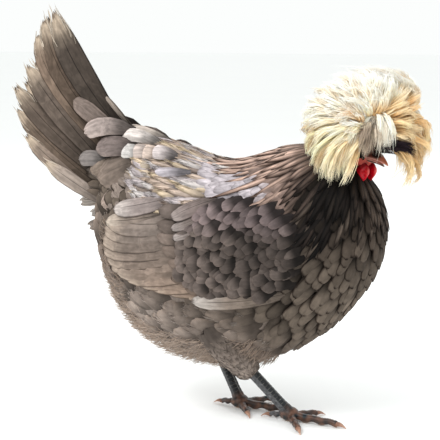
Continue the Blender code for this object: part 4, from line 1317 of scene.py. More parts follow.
barb_tone = np.repeat(ends, SADDLE_BARBS, axis=0) * shades(SADDLE_BARBS * count, 0.15, 20)
barb_roots = flat_skin(np.repeat(cuts, SADDLE_BARBS), np.repeat(angles, SADDLE_BARBS))
coat.add(shape, barb_roots, tinted(barb_tone, 0.5))
coat.done("Back_and_saddle", saddle_finish, "plumage")

# %% [markdown]
# ## The folded wing
# The wing lies on the flank, so its feathers are drawn in side view, as x and z, and a ray towards the
# body finds how far out the flank is there. Long secondaries come first, each tucked under the one
# above. Rows of rounded coverts lie over their roots, and small scale-like ones fill the shoulder.


# %% Places on the flank
trunk_tree = BVHTree.FromPolygons(*(part.tolist() for part in tube(body(all_cuts, round_body))))
# The flank's least distance from the middle, so that the wing's feathers don't sink where it narrows
WING_OUT = 36


def flank(places, side, height):
    """Points on the trunk's side at (x, z) places, a height further out, and the surface's normals there."""
    ahead = Vector((0, -side, 0))
    hits = [trunk_tree.ray_cast(Vector((x, side * 300.0, z)), ahead) for x, z in places]
    spots = np.array([hit[0] if hit[0] else (x, 0, z) for hit, (x, z) in zip(hits, places)])
    spots[:, 1] = side * np.maximum(np.abs(spots[:, 1]), WING_OUT)
    facing = np.array([hit[1] if hit[0] else (0, side, 0) for hit in hits])
    facing = facing * np.sign(facing[:, 1] * side)[:, None]
    return spots + np.array([0, side, 0]) * np.asarray(height, float).reshape(-1, 1), facing


def on_wing(root, tip, side, low, high, tilt, sag=0.0):
    """Lines of wing feathers from (x, z) roots to tips, with their upper edge tucked in by the tilt."""
    root, tip = np.asarray(root, float), np.asarray(tip, float)
    start, _ = flank(root, side, low)
    middle, facing = flank((root + tip) / 2 - (0, sag), side, (np.asarray(low) + high) / 2 + 0.6)
    end, _ = flank(tip, side, high)
    return start, middle, end, unit(facing + np.array([0, 0, tilt]))


def rows_between(top, bottom, count):
    """Places from top to bottom of a row, as many as count."""
    share = (np.arange(count) + 0.5) / count
    return mix(np.array(top), np.array(bottom), share[:, None])


print("the flank under the shoulder:", flank([(60, 180)], -1, 0)[0].round(1), "mm")

# %% Wing feathers
SECONDARIES, BOW_COVERTS = 12, 165
LONG_TIPS = (
    (-103, 197), (-110, 184), (-111, 170), (-107, 158), (-98, 150), (-84, 145), (-66, 142), (-44, 140),
    (-16, 138),
)
long_tips = spline(LONG_TIPS, np.linspace(0, len(LONG_TIPS) - 1, SECONDARIES))
long_roots = rows_between((0, 210), (44, 142), SECONDARIES)
# Rows of coverts: tips, how many, length, width, height at the top, how much lower at the bottom
COVERT_ROWS = (
    (
        ((-42, 214), (-43, 199), (-40, 187), (-36, 175), (-32, 163), (-26, 151), (-14, 141), (4, 137)),
        8, 46, 17, 10.5, 4.0,
    ),
    (((-22, 184), (-18, 173), (-12, 162), (-4, 151), (10, 142)), 7, 38, 17, 11.4, 4.0),
    (((-5, 192), (-3, 182), (1, 171), (8, 160), (18, 150)), 6, 32, 16, 12.0, 4.0),
)
# Single long feathers over the rest: root and tip (x, z), width, heights, sag, ground, tip
TOP_FEATHERS = (
    ((-34, 208), (-105, 196), 20, (2.0, 10.5), 2, (130, 117, 108), (184, 170, 156)),
    ((-26, 224), (-94, 209), 20, (1.0, 12.0), 1, (146, 134, 130), (190, 180, 174)),
    ((14, 202), (-24, 187), 11, (4.0, 12.0), 1, (118, 107, 102), (152, 142, 138)),
    ((13, 212), (-26, 196), 11, (4.0, 12.6), 1, (116, 105, 100), (150, 140, 136)),
    ((18, 224), (-27, 206), 17, (2.0, 13.4), -2, (118, 106, 102), (140, 129, 125)),
    ((84, 137), (-5, 127), 17, (1.5, 11.0), 3, (126, 113, 103), (184, 175, 168)),
)
SLATE_WING, WARM_WING = paint(118, 107, 100), paint(136, 117, 103)

for side, name in ((-1, "right"), (1, "left")):
    coat = Coat()
    share = np.linspace(0, 1, SECONDARIES)
    lines = on_wing(long_roots, long_tips, side, 2.5, 9.0 - 5.0 * share, 0.22, 5.0)
    made = blades(lines, 25.0 - 4.0 * share, "long", 9, 0.22, 0.5, 0.03, 0.6, seed=31)
    ground = mix(SLATE_WING, WARM_WING, share[:, None]) * shades(SECONDARIES, 0.08, 30)
    coat.add(made, nearest_skin(lines[0]), two_tone(ground, paint(166, 150, 136), made, 0.7))
    for number, (root, tip, width, heights, sag, ground, end) in enumerate(TOP_FEATHERS):
        lines = on_wing([root], [tip], side, *heights, 0.2, sag)
        made = blades(lines, np.full(1, float(width)), "round", 9, 0.35, 1.0, 0.03, 0.6, seed=32 + number)
        coat.add(made, nearest_skin(lines[0]), two_tone(paint(*ground)[None], paint(*end), made, 0.55))
    coat.done(f"Flight_feathers_{name}", flight_finish, "plumage", (f"wing_{name}",))

    coat = Coat()
    for number, (edge_line, count, length, width, high, drop) in enumerate(COVERT_ROWS):
        draw = np.random.default_rng(33 + number)
        share = np.linspace(0, 1, count)
        ends = spline(edge_line, share * (len(edge_line) - 1)) + draw.normal(size=(count, 2)) * 1.2
        roots = ends + np.column_stack([np.full(count, length), 9.0 * share - 2])
        lines = on_wing(roots, ends, side, 3.5, high - drop * share, 0.3)
        tone = mix(paint(110, 99, 93), paint(120, 104, 93), share[:, None]) * shades(count, 0.1, 34)
        made = blades(lines, np.full(count, width), "round", 9, 0.4, 1.6, 0.04, 0.5, seed=35 + number)
        coat.add(made, nearest_skin(lines[0]), tinted(tone, 0.66))
    even_one, even_two = even_pairs(np.arange(BOW_COVERTS))
    bow = np.column_stack([even_one * 112 - 18, even_two * 90 + 133])
    draw = np.random.default_rng(38)
    bow = bow + draw.normal(size=bow.shape) * 1.3
    off = np.column_stack([(bow[:, 0] - 38) / 56, (bow[:, 1] - 178) / 45])
    far = (np.abs(off) ** 2.6).sum(1)
    bow, far = bow[far < 1], far[far < 1]
    turn = np.radians(214) + 0.3 * draw.normal(size=len(bow)) - 0.4 * smooth(175, 135, bow[:, 1])
    run = np.column_stack([np.cos(turn), np.sin(turn)]) * draw.uniform(18, 24, (len(bow), 1))
    behind = smooth(66, -6, bow[:, 0])
    height = 6.5 + 5.5 * behind * (1 - 0.35 * smooth(0.3, 1.0, far)) + 3.0 * draw.random(len(bow))
    lines = on_wing(bow - run / 2, bow + run / 2, side, height - 6.5, height, 0.16)
    high_up = smooth(190, 210, bow[:, 1])[:, None]
    # Painted shade: the coverts darken towards the wing's front, most round its front middle where the wing
    # meets the breast
    shade = bell((bow[:, 0] - 66) / 26, (bow[:, 1] - 182) / 22)[:, None]
    tone = mix(MAUVE, paint(118, 105, 104), high_up)
    tone = tone * (0.8 + 0.24 * behind[:, None]) * (1 - 0.5 * shade) * shades(len(bow), 0.16, 36)
    made = blades(lines, draw.uniform(11, 17, len(bow)), "round", 9, 0.4, 2.6, 0.03, 0.5, seed=37)
    coat.add(made, nearest_skin(lines[0]), tinted(tone, 0.25))
    coat.done(f"Wing_coverts_{name}", wing_finish, "plumage")

# %% [markdown]
# ## Tail
# Eight firm feathers stand on each side of a roof-shaped fan, the top pair on the ridge. Their worn tips
# end in ragged barbs. Over their roots lie soft, round-ended coverts.


# %% Tail feathers and coverts
# From the top one down: root, middle and tip (x, z), width, tint
TAIL_FEATHERS = (
    ((-98, 276), (-144, 334), (-176, 400), 28, (74, 66, 60)),
    ((-106, 262), (-161, 330), (-185, 393), 23, (92, 79, 69)),
    ((-109, 251), (-171, 325), (-190, 377), 17, (122, 105, 92)),
    ((-111, 237), (-165, 297), (-202, 348), 26, (98, 87, 79)),
    ((-114, 226), (-174, 280), (-215, 325), 21, (92, 81, 73)),
    ((-116, 217), (-172, 261), (-212, 303), 19, (104, 90, 79)),
    ((-118, 211), (-165, 243), (-202, 276), 18, (134, 119, 108)),
    ((-117, 206), (-148, 227), (-181, 250), 16, (160, 146, 136)),
)
# Soft feathers over the tail's root, on each side: root and tip (x, out, z), width, bow, lift, tint
TAIL_COVERTS = (
    ((-99, 10, 272), (-151, 14, 313), 18, 1.5, 0, (124, 111, 104)),
    ((-91, 3, 281), (-122, 3, 317), 4, 0.8, 0, (150, 138, 128)),
    ((-50, 3, 270), (-98, 4, 284), 15, 3, 0, (196, 184, 174)),
    ((-105, 16, 252), (-146, 18, 254), 17, 5, 0, (128, 121, 118)),
    ((-96, 18, 245), (-133, 21, 241), 17, 6, 3, (134, 120, 109)),
    ((-66, 27, 255), (-121, 30, 233), 32, 8, 1, (124, 111, 102)),
    ((-80, 31, 226), (-117, 32, 209), 22, 7, 0, (158, 141, 131)),
    ((-74, 20, 262), (-125, 24, 265), 22, 9, 2, (126, 114, 110)),
    ((-85, 12, 281), (-140, 19, 280), 20, 9, 4, (168, 154, 148)),
    ((-69, 26, 262), (-97, 29, 263), 15, 5, 0, (205, 200, 196)),
    ((-58, 27, 262), (-84, 31, 264), 15, 5, 0, (196, 181, 173)),
    ((-49, 28, 260), (-73, 33, 264), 14, 5, 0, (206, 187, 175)),
    ((-34, 29, 259), (-61, 35, 265), 15, 5, 0, (202, 191, 189)),
    ((-54, 14, 267), (-99, 18, 278), 14, 7, 3, (222, 212, 206)),
    ((-52, 34, 252), (-76, 38, 247), 11, 4, 0, (174, 160, 144)),
    ((-16, 44, 246), (-63, 42, 243), 10, 5, 0, (198, 190, 196)),
    ((-38, 42, 235), (-79, 42, 231), 15, 5, 0, (178, 166, 166)),
    ((-78, 31, 231), (-101, 32, 220), 9, 4, 0, (150, 124, 108)),
    ((-28, 48, 236), (-64, 46, 224), 12, 4, 0, (180, 168, 162)),
)
# Tips of the far wing's long feathers, which show under the tail
FAR_TIPS = (
    ((-100, 24, 214), (-161, 22, 203), 13, 1, 0, (176, 166, 158)),
    ((-98, 26, 202), (-150, 24, 191), 12, 1, 0, (186, 178, 172)),
    ((-98, 24, 190), (-152, 22, 178), 14, 1, 0, (150, 138, 130)),
    ((-96, 26, 184), (-144, 22, 173), 12, 1, 0, (128, 116, 108)),
)
BARBS_EACH, TAIL_TIP, BARB_TONE = 26, paint(190, 172, 152), paint(204, 190, 172)
tail_share = np.linspace(0, 1, len(TAIL_FEATHERS))
lean = math.radians(20)
coat, barbs = Coat(), Coat()
for side in (-1, 1):
    flat = [np.array([row[k] for row in TAIL_FEATHERS], float) for k in range(3)]
    flat[2] += (-2.5, 3.0) if side > 0 else 0
    out = [side * (at + gain * tail_share) for at, gain in ((2, 5), (6, 12), (4, 18))]
    lines = [np.column_stack([part[:, 0], y, part[:, 1]]) for part, y in zip(flat, out)]
    facing = (0.35 * math.sin(lean), side * math.cos(lean), math.sin(lean))
    lines.append(np.tile(facing, (len(TAIL_FEATHERS), 1)))
    width = np.array([row[3] for row in TAIL_FEATHERS], float)
    made = blades(lines, width, "tail", 17, 0.12, 0.0, 0.06, 0.7, seed=41 + side)
    ground = np.array([paint(*row[4]) for row in TAIL_FEATHERS])
    coat.add(made, nearest_skin(lines[0]), two_tone(ground, TAIL_TIP, made, 0.76 if side < 0 else 0.5))
    shape = fringe(lines, width, "tail", BARBS_EACH, 0.12, 0.0, 0.75, 0.05, 0.6, 45 + side, 0.75, 0.04)
    tone = np.repeat(mix(ground, BARB_TONE, 0.7), BARBS_EACH, axis=0)
    tone = tone * shades(len(tone), 0.2, 46)
    barbs.add(shape, nearest_skin(np.repeat(lines[0], BARBS_EACH, axis=0)), tinted(tone, 0.5))
coat.done("Tail_feathers", flight_finish, "tail", ("tail",))
barbs.done("Tail_barbs", down_finish, "tail")

coat = Coat()
for side in (-1, 1):
    rows = TAIL_COVERTS + (FAR_TIPS if side > 0 else ())
    start, end = (np.array([row[k] for row in rows], float) * (1, side, 1) for k in (0, 1))
    width, bow, lift = (np.array([row[k] for row in rows], float) for k in (2, 3, 4))
    face = np.tile((0.1, side * 0.9, 0.4), (len(start), 1))
    middle = (start + end) / 2 + unit(face) * bow[:, None] + lift[:, None] * (0, 0, 1)
    made = blades((start, middle, end, face), width, "blunt", 13, 0.4, 2.4, 0.05, 0.6, seed=51 + side)
    tone = np.array([paint(*row[5]) for row in rows]) * 0.88
    coat.add(made, nearest_skin(start), two_tone(tone * 0.8, tone * 1.1, made, 0.3, 0.35))
coat.done("Tail_coverts", covert_finish, "plumage")

# %% [markdown]
# ## Down
# Round the thighs and under the tail the feathers end in loose down. Strands are the cheapest way to
# show it: three-sided, tapered, and bent by gravity.


# %% Down on belly and thighs
SOFT_BARBS, THIGH_FEATHERS, THIGH_BARBS = 8, 130, 8
coat = Coat()
soft = (loose > 0.35) & (cuts_of_body > 5.5)
lines = [line[soft] for line in body_lines]
shape = fringe(lines, width_of_body[soft], "round", SOFT_BARBS, 0.45, 2.6, 0.8, 0.08, 0.5, 61, 0.2, 0.1)
tone = np.repeat(tone_of_body[soft] * 1.25, SOFT_BARBS, axis=0)
tone = tone * shades(len(tone), 0.14, 62)
soft_roots = flat_skin(*(np.repeat(x[soft], SOFT_BARBS) for x in (cuts_of_body, angles_of_body)))
coat.add(shape, soft_roots, tinted(tone, 0.5))


def down_spacing(cuts, angles, points):
    """Dense along the keel between the thighs, and under the tail."""
    turn = np.abs(angles)
    keel = (cuts > 6.8) & (turn > 2.35)
    rear = (cuts > 9.6) & (turn > 1.2) & (points[..., 2] < 190)
    return np.where(keel | rear, 2.9, np.inf)


cuts, angles = spread(down_spacing, 7)
draw = np.random.default_rng(63)
count = len(cuts)
root, middle, tip, face = lie(cuts, angles, 10 + 8 * draw.random(count), -3.5, 1.5, 0.4, 64)
tip = tip + draw.normal(size=(count, 3)) * 1.8 + np.array([0, 0, -1.2])
tip = tip + face * (3.5 * draw.random((count, 1)))
tone = (body_tone(root) * 0.8 + paint(168, 140, 114) * 0.3) * shades(count, 0.14, 65)
shape = strands(root, (root + tip) / 2 + face * 1.8, tip, np.full(count, 0.6), 3, 66)
coat.add(shape, flat_skin(cuts, angles), tinted(tone, 0.5))
coat.done("Belly_down", down_finish, "plumage")

coat = Coat()
for name in LEGS:
    line, radii = thigh_line(name)
    even_one, even_two = even_pairs(np.arange(THIGH_FEATHERS))
    share = 0.44 + 0.82 * even_one
    turn = even_two * 2 * math.pi
    at = np.minimum(share, 1) * (len(line) - 1)
    way = unit(line[-1] - line[0])
    spot = spline(line, at) + np.maximum(share - 1, 0)[:, None] * way * 60
    radius = spline(radii[:, None], at)[:, 0]
    side_way = unit(np.cross(way, (0, 0, 1.0)))
    up_way = np.cross(side_way, way)
    out = np.cos(turn)[:, None] * side_way + np.sin(turn)[:, None] * up_way
    root = spot + out * (radius - 1.0)[:, None]
    tip = root - way * (5 + 19 * share[:, None]) + out * (0.6 + 1.6 * share[:, None])
    middle = (root + tip) / 2 + out * 1.6
    lines = (root, middle, tip, out)
    tone = body_tone(root) * shades(len(root), 0.08, 67)
    made = blades(lines, 8.0 + 9 * share, "round", 9, 0.45, 2.0, 0.06, seed=68)
    coat.add(made, nearest_skin(root), tinted(tone, 0.3))
    shape = fringe(lines, 8.0 + 9 * share, "round", THIGH_BARBS, 0.4, 2.0, 0.6, 0.1, 0.5, 69, 0.2, 0.12)
    tone = np.repeat(tone * 1.15, THIGH_BARBS, axis=0)
    tone = tone * shades(len(tone), 0.12, 70)
    coat.add(shape, nearest_skin(np.repeat(root, THIGH_BARBS, axis=0)), tinted(tone, 0.5))
coat.done("Thigh_feathers", soft_finish, "plumage")

# %% [markdown]
# ## The crest
# A Polish hen's crest is a ball of long soft feathers that spring from a knob on the skull. Seen from
# the side they part at a whorl above the eye: golden at their roots, cream along their length and
# nearly white at the tips. Tips are spread over an egg round the head by the golden angle. The hem says
# how low they hang all the way round. Each feather is a bundle of fine strands.


# %% The lines of the crest's feathers
# The hem and the two whorls, in degrees round the head (0 ahead, + left) and degrees up
CREST_HEM = (
    (-180, -60), (-160, -64), (-92, -66), (-76, -58), (-71, 6), (-50, 24), (-34, 16), (-25, -2), (-14, -4),
    (-8, -24), (-2, -44), (36, -47), (44, -8), (94, -10), (106, -26), (116, -46), (126, -60), (160, -64),
    (180, -60),
)
WHORLS = ((-48, 17), (50, 20))
CREST_FEATHERS, STRANDS_EACH = 760, 34
GOLD, CREAM = paint(240, 170, 70), paint(255, 234, 184)
WHITE_TIP, STREAK = paint(255, 254, 246), paint(204, 164, 104)
AMBER, BROWN, OLIVE = paint(250, 218, 164), paint(196, 148, 92), paint(176, 154, 112)


def direction(turn, height):
    """A unit vector in the head's frame from degrees round (0 ahead, + left) and degrees up."""
    turn, height = np.radians(turn), np.radians(height)
    return np.stack([np.cos(height) * np.cos(turn), np.cos(height) * np.sin(turn), np.sin(height)], -1)


def crest_plumes(number_on_egg, seed):
    """Root, middle and tip of each crest feather, and the way its tip points from the skull.

    Each starts at the nearer whorl and runs to its tip on the egg, bowed a little outwards, the low ones
    more, since they first go out to their side and then fall.
    """
    number = np.arange(number_on_egg)
    rise_share = 1 - 1.92 * (number + 0.5) / number_on_egg
    turn = (golden_turn(number) + math.pi) % (2 * math.pi) - math.pi
    hem = np.interp(np.degrees(turn), *np.array(CREST_HEM, float).T)
    keep = np.degrees(np.arcsin(rise_share)) > hem
    turn, height = np.degrees(turn[keep]), np.degrees(np.arcsin(rise_share[keep]))
    way = direction(turn, height)
    draw = np.random.default_rng(seed)
    near = way[:, 1] < 0.42 * smooth(0.3, 0.9, way[:, 0]) + 0.06 * draw.normal(size=len(way))
    whorl = np.where(near[:, None], WHORLS[0], WHORLS[1])
    whorl_way = direction(*whorl.T)
    keep = (way * whorl_way).sum(1) < math.cos(math.radians(22))
    way, whorl, whorl_way, turn, height = (x[keep] for x in (way, whorl, whorl_way, turn, height))
    swing = (turn - whorl[:, 0] + 180) % 360 - 180
    down = direction(whorl[:, 0] + 0.82 * swing, 0.5 * whorl[:, 1] + 0.5 * height)
    low = 0.55 * smooth(45, 15, height)[:, None]
    middle_way = unit(mix(unit(whorl_way + way), down, low) + draw.normal(size=way.shape) * 0.05)
    tip_way = unit(way + draw.normal(size=way.shape) * 0.055)
    back = smooth(0.1, -0.4, way[:, :1])
    ends = np.maximum(smooth(0.1, -0.3, way[:, :1]), 0.6 * smooth(0.3, 0.7, way[:, :1]))
    hanging = smooth(-0.1, -0.65, way[:, 2:]) * ends
    layer = draw.uniform(0.78, 1.04, (len(way), 1)) - 0.08 * back + 0.02 * hanging
    reach = np.array(CREST_REACH)
    seen = np.maximum(smooth(0.25, 0.35, way[:, :1]), smooth(0.3, -0.1, way[:, 1:2]))
    nape = smooth(-0.55, -0.9, way[:, :1])
    apart = 9 * np.clip(way[:, 1:2] * 3, -1, 1) * (1 - 1.6 * nape)
    fall = hanging * np.maximum(seen, nape) * np.column_stack([7 * back, apart, -19 + 6 * back])
    tip = tip_way * reach * layer + fall
    middle = middle_way * reach * (layer - 0.05 * (1 - low)) + fall * (0.3, 0.6, 0.3)
    tip, middle = (places @ axes.T + CREST_MIDDLE for places in (tip, middle))
    start = unit(whorl_way + draw.normal(size=way.shape) * 0.16 + 0.12 * way)
    root = on_head(np.array(CREST_CORE[0]) + start * np.array(CREST_CORE[1]) * 0.86)
    return root, middle, tip, way


root, middle, tip, way = crest_plumes(CREST_FEATHERS, 71)
print(len(root), "crest feathers")

# %% [markdown]
# Each line becomes a bundle of strands. Their colours run along them in layers: gold at the root above the
# whorl, then cream, then nearly white, with amber in front and a few darker streaks.


# %% Crest feathers
def bundle(root, middle, tip, each, half_width, thick, seed, stray=0.08):
    """Fine strands round a feather's line: they part from its root, spread, and gather again at the tip.

    A point at a share of the line is root + (tip - root) * share + bend * 4 * share * (1 - share), so
    half way it has the whole bend, and the strand's own share of the spread is added to it.
    stray is the share of strands that end past the others.
    """
    draw = np.random.default_rng(seed)
    ahead = unit(tip - root)
    side = unit(np.cross(ahead, (0.1, 0.2, 1.0)))
    up = np.cross(side, ahead)
    count = len(root)
    off = draw.normal(size=(count, each, 3)) * np.array([1.0, 0.45, 0])
    off = np.clip(off, -1.8, 1.8) * half_width
    spread_at = off[..., :1] * side[:, None] + off[..., 1:2] * up[:, None]
    wild = draw.random((count, each, 1)) < stray
    end = draw.uniform(0.7, 1.02, (count, each, 1)) + wild * draw.uniform(0.05, 0.16, (count, each, 1))
    begin = draw.uniform(0.0, 0.25, (count, each, 1))
    bend = middle - (root + tip) / 2

    def at(share):
        """Points of the line at a share."""
        return root[:, None] + (tip - root)[:, None] * share + bend[:, None] * 4 * share * (1 - share)

    start = at(begin) + spread_at * 0.3
    half = at((begin + end) / 2) + spread_at
    finish = at(end) + spread_at * 0.8 + draw.normal(size=(count, each, 3)) * (1.2 + 2.2 * wild)
    flat = [part.reshape(-1, 3) for part in (start, half, finish)]
    return strands(*flat, np.full(count * each, thick), 4, seed), begin.reshape(-1), end.reshape(-1)


def crest_colours(vane, begin, end, way, each, seed):
    """Layers of colour along each strand: cream, amber in front, white tips, streaks, gold roots above."""
    draw = np.random.default_rng(seed)
    count = len(way)
    streaked = np.repeat(draw.random(count) < 0.35, each)[:, None]
    gold_end = np.repeat(0.45 + 0.5 * draw.random(count) ** 2, each)[:, None]
    light = np.repeat(1 + 0.045 * draw.normal(size=count), each)[:, None]
    light = light * (1 + 0.06 * draw.normal(size=(count * each, 1)))
    way = np.repeat(way, each, axis=0)
    along = begin[:, None] + (end - begin)[:, None] * vane[None, :, 1]
    front = smooth(0.35, 0.85, way[:, 0])[:, None]
    behind = smooth(0.0, -0.5, way[:, 0])[:, None]
    low = smooth(0.15, -0.55, way[:, 2])[:, None]
    midway = smooth(0.25, 0.5, along) * smooth(0.95, 0.7, along)
    tone = np.broadcast_to(CREAM, (*along.shape, 3))
    golden = smooth(gold_end, 0.08, along) * (1 - 0.75 * behind) * (1 - 0.5 * low)
    for colour, weight in (
        (AMBER, 0.85 * front + 0 * along),
        (WHITE_TIP, smooth(0.25, 0.8, along) * (1 - 0.8 * front) * (1 - 0.6 * low)),
        (WHITE_TIP, behind * (1 - low) * 0.7 * smooth(0.8, 0.3, along)),
        (STREAK, streaked * (0.3 + 0.3 * low) * midway),
        (OLIVE, streaked * low * behind * 0.5 * midway),
        (BROWN, front * (0.3 + 0.4 * streaked) * smooth(0.75, 0.2, along)),
        (GOLD, golden * (0.8 + 0.2 * streaked)),
    ):
        tone = mix(tone, colour, weight[..., None])
    tone = np.minimum(tone * light[..., None], 1.0)
    return np.concatenate([tone, np.full((*tone.shape[:2], 1), 0.5)], -1)


def flat_head(way):
    """A place on the head's skin laid flat, from a direction in the head's frame."""
    round_it = np.arctan2(way[:, 1], way[:, 0]) / (2 * math.pi)
    return np.column_stack([round_it + 0.5, np.arcsin(np.clip(way[:, 2], -1, 1)) / math.pi + 0.5])


behind, ahead = way[:, 0] < -0.38, way[:, 0] > 0.3
lobes = {"Crest_back": behind, "Crest_middle": ~behind & ~ahead, "Crest_front": ahead}
for number, (name, pick) in enumerate(lobes.items()):
    coat = Coat()
    shape, begin, end = bundle(root[pick], middle[pick], tip[pick], STRANDS_EACH, 2.6, 0.7, 72 + number)
    tints = crest_colours(shape[1], begin, end, way[pick], STRANDS_EACH, 76 + number)
    coat.add(shape, flat_head(np.repeat(way[pick], STRANDS_EACH, axis=0)), tints)
    coat.done(name, plume_finish, "crest", ("crest",) if number == 0 else ())

# %% [markdown]
# Over the eye hang short tufts, white in front and grey-brown behind. Where crest meets bill, blue Polish
# fowl keep a few nearly black feathers, and short dark ones cover the cheeks.


# %% Short tufts round the face
# In the head's frame: how many, root, middle, tip, how far the tips scatter, colour
TUFTS = (
    (24, (30, -14, 38), (48, -26, 35), (50, -23, 14), (6, 4, 6), (252, 243, 226)),
    (16, (28, -15, 35), (30, -26, 35), (27, -29, 24), (6, 4, 4), (244, 234, 218)),
    (22, (25, -16, 32), (31, -29, 25), (29, -28, 12), (10, 7, 7), (160, 142, 124)),
    (14, (25, -16, 32), (32, -30, 24), (31, -29, 12), (10, 7, 7), (214, 198, 176)),
    (14, (24, -16, 31), (27, -24, 20), (30, -22, 7), (6, 4, 3), (112, 94, 66)),
    (16, (22, -17, 31), (20, -29, 24), (19, -29, 12), (7, 4, 6), (150, 132, 112)),
)
TUFT_STRANDS = 26
coat = Coat()
for side in (-1, 1):
    for number, (count, start, half, end, scatter, colour) in enumerate(TUFTS):
        draw = np.random.default_rng(81 + side * 10 + number)
        flip = np.array([1, -side, 1])
        shift = draw.normal(size=(count, 3))
        lines = [on_head((np.array(spot) + shift * np.array(scatter) * part) * flip)
                 for spot, part in ((start, 0.4), (half, 0.8), (end, 1.0))]
        shape, _, _ = bundle(*lines, TUFT_STRANDS, 1.9, 0.65, 101 + side * 10 + number)
        tone = np.repeat(paint(*colour) * shades(count, 0.1, 120 + number), TUFT_STRANDS, axis=0)
        tone = np.minimum(tone * shades(len(tone), 0.08, 130), 1.0)
        way = np.tile(unit(np.array(start) * flip), (len(tone), 1))
        coat.add(shape, flat_head(way), tinted(tone, 0.5))
coat.done("Crest_tufts", plume_finish, "crest")

# %% [markdown]
# The cheeks' feathers are single short blades. Directions spread evenly round the head by the golden
# angle send a ray each at the skull's skin, and a blade grows where it hits, laid back along the skin.
# Eye and gape stay bare. Over the bill's root, a few glossy dark bundles reach forward.


# %% Dark feathers of the face and under the front of the crest
# Root, middle and tip of the bundles over the bill, in the hen's measures
FOREHEAD_LINES = (
    ((158, -24, 273), (185, -45, 277), (199, -43, 270)),
    ((158, -26, 270), (179, -43, 275), (191, -41, 272)),
    ((158, -22, 277), (182, -43, 280), (197, -41, 276)),
    ((158, -26, 268), (175, -41, 273), (185, -39, 270)),
)
FOREHEAD_FEATHERS, FOREHEAD_STRANDS, FACE_TRIES = 24, 22, 1500
coat = Coat()
draw = np.random.default_rng(91)
shift = draw.normal(size=(FOREHEAD_FEATHERS, 3)) * (2.0, 2.5, 1.6)
plans = np.array([FOREHEAD_LINES[k % len(FOREHEAD_LINES)] for k in range(FOREHEAD_FEATHERS)])
start, half, end = (plans[:, part] + shift * loose_by for part, loose_by in enumerate((0.5, 0.8, 1.0)))
shape, _, _ = bundle(start, half, end, FOREHEAD_STRANDS, 1.2, 0.7, 92, 0.04)
tone = paint(40, 32, 36) * shades(FOREHEAD_FEATHERS * FOREHEAD_STRANDS, 0.35, 93)
way = unit(np.repeat(start, FOREHEAD_STRANDS, axis=0) - HEAD_PLACE)
coat.add(shape, flat_head(way), tinted(tone, 0.5))
head_faces = [list(face.vertices) for face in head_skin.polygons]
skull_tree = BVHTree.FromPolygons(mesh_points(head_skin).tolist(), head_faces)
number = np.arange(FACE_TRIES)
sphere_z = 1 - 2 * (number + 0.5) / FACE_TRIES
sphere_turn = golden_turn(number)
level = np.sqrt(1 - sphere_z**2)
ways = np.column_stack([level * np.cos(sphere_turn), level * np.sin(sphere_turn), sphere_z])
skull_centre = Vector(on_head((6, 0, -3)))
outward = [Vector(way @ axes.T) for way in ways]
rays = [skull_tree.ray_cast(skull_centre + way * 60, -way) for way in outward]
spots = np.array([ray[0] if ray[0] else (0, 0, 0) for ray in rays])
facing = np.array([ray[1] if ray[0] else (0, 0, 1) for ray in rays])
local = (spots - HEAD_PLACE) @ axes
eye_gap = np.hypot(local[:, 0] - EYE_PLACE[0], local[:, 2] - EYE_PLACE[2])
gape = (local[:, 0] > 13.5) & (local[:, 2] < -4) & (local[:, 2] > -14)
keep = (eye_gap > 5.6) & ~gape & (local[:, 0] < 21) & (spots[:, 2] > 200)
spots, facing, local = spots[keep], facing[keep], local[keep]
back_way = unit(np.array([-1.0, 0, -0.55]) @ axes.T + draw.normal(size=spots.shape) * 0.2)
back_way = unit(back_way - facing * (back_way * facing).sum(1, keepdims=True))
length = draw.uniform(4, 6.5, (len(spots), 1))
root, tip = spots - facing * 0.6, spots + back_way * length + facing * 0.9
tone = paint(32, 26, 23) * shades(len(spots), 0.35, 94)
lines = (root, (root + tip) / 2 + facing * 0.8, tip, facing)
made = blades(lines, np.full(len(spots), 3.0), "lance", 5, 0.3, seed=95)
coat.add(made, flat_head(unit(local)), tinted(tone, 0.5))
coat.done("Face_feathers", hackle_finish, "crest")

# %% [markdown]
# ## Studio
# The photo was taken on white, in soft light from above. A wide pale floor, a bright plain world and
# two large lamps do the same. The camera stands at the photo's angle: 17 degrees towards the front of
# the bird's right side, and 9 degrees up.


# %% Floor, lights and camera
def floor_finish():
    """A pale, nearly even floor."""
    made, tree, shader = new_finish("Pale floor", 0.9)
    shade = blend(tree, noise(tree, 300, 2), (0.955, 0.965, 0.96, 1), (0.975, 0.985, 0.98, 1))
    tree.links.new(shade, shader.inputs["Base Color"])
    return made


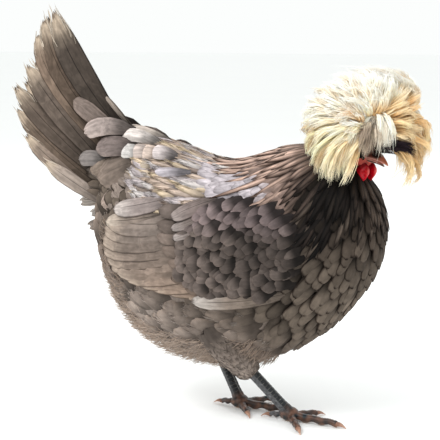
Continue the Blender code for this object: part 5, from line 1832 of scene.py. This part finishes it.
FLOOR_HALF = 14.0
floor_mesh = bpy.data.meshes.new("Floor")
corners = [(FLOOR_HALF * x, FLOOR_HALF * y, 0) for x, y in ((-1, -1), (1, -1), (1, 1), (-1, 1))]
floor_mesh.from_pydata(corners, [], [(0, 1, 2, 3)])
floor_mesh.materials.append(floor_finish())
link("Floor", floor_mesh)

world = bpy.data.worlds.new("Studio")
world.use_nodes = True
sky = world.node_tree.nodes["Background"]
sky.inputs["Color"].default_value = (0.974, 0.991, 0.983, 1)
sky.inputs["Strength"].default_value = 1.0
bpy.context.scene.world = world
bpy.context.scene.view_settings.view_transform = "Standard"


def lamp(name, place_at, aim, size, power):
    """A square soft lamp that looks at a point."""
    light = bpy.data.lights.new(name, "AREA")
    light.size = size
    light.energy = power
    made = link(name, light)
    made.location = place_at
    made.rotation_euler = (Vector(aim) - Vector(place_at)).to_track_quat("-Z", "Y").to_euler()


lamp("Key", (-0.7, -1.0, 1.8), (0, 0, 0.2), 1.0, 26)
lamp("Rear", (-0.2, 1.4, 1.5), (0, 0, 0.25), 1.2, 12)

CAMERA_TURN, CAMERA_RISE, CAMERA_FAR = math.radians(17), math.radians(9), 1.25
CAMERA_AIM, PHOTO_WIDTH, SENSOR_WIDTH = (0, 0, 193.5), 0.44, 36
target = (np.array(CAMERA_AIM) + SHIFT) * MM
level = math.cos(CAMERA_RISE)
back = np.array([math.sin(CAMERA_TURN) * level, -math.cos(CAMERA_TURN) * level, math.sin(CAMERA_RISE)])
camera_data = bpy.data.cameras.new("Camera")
camera_data.sensor_width = SENSOR_WIDTH
camera_data.lens = SENSOR_WIDTH * CAMERA_FAR / PHOTO_WIDTH
camera = link("Camera", camera_data)
camera.location = target + back * CAMERA_FAR
camera.rotation_euler = Vector(-back).to_track_quat("-Z", "Y").to_euler()
bpy.context.scene.camera = camera
print("the camera stands at", (target + back * CAMERA_FAR).round(3), "m")


# %% Count the faces
pieces = [piece for piece in bpy.data.objects if piece.type == "MESH" and not piece.hide_render]
print("faces in all:", sum(len(piece.data.polygons) for piece in pieces))
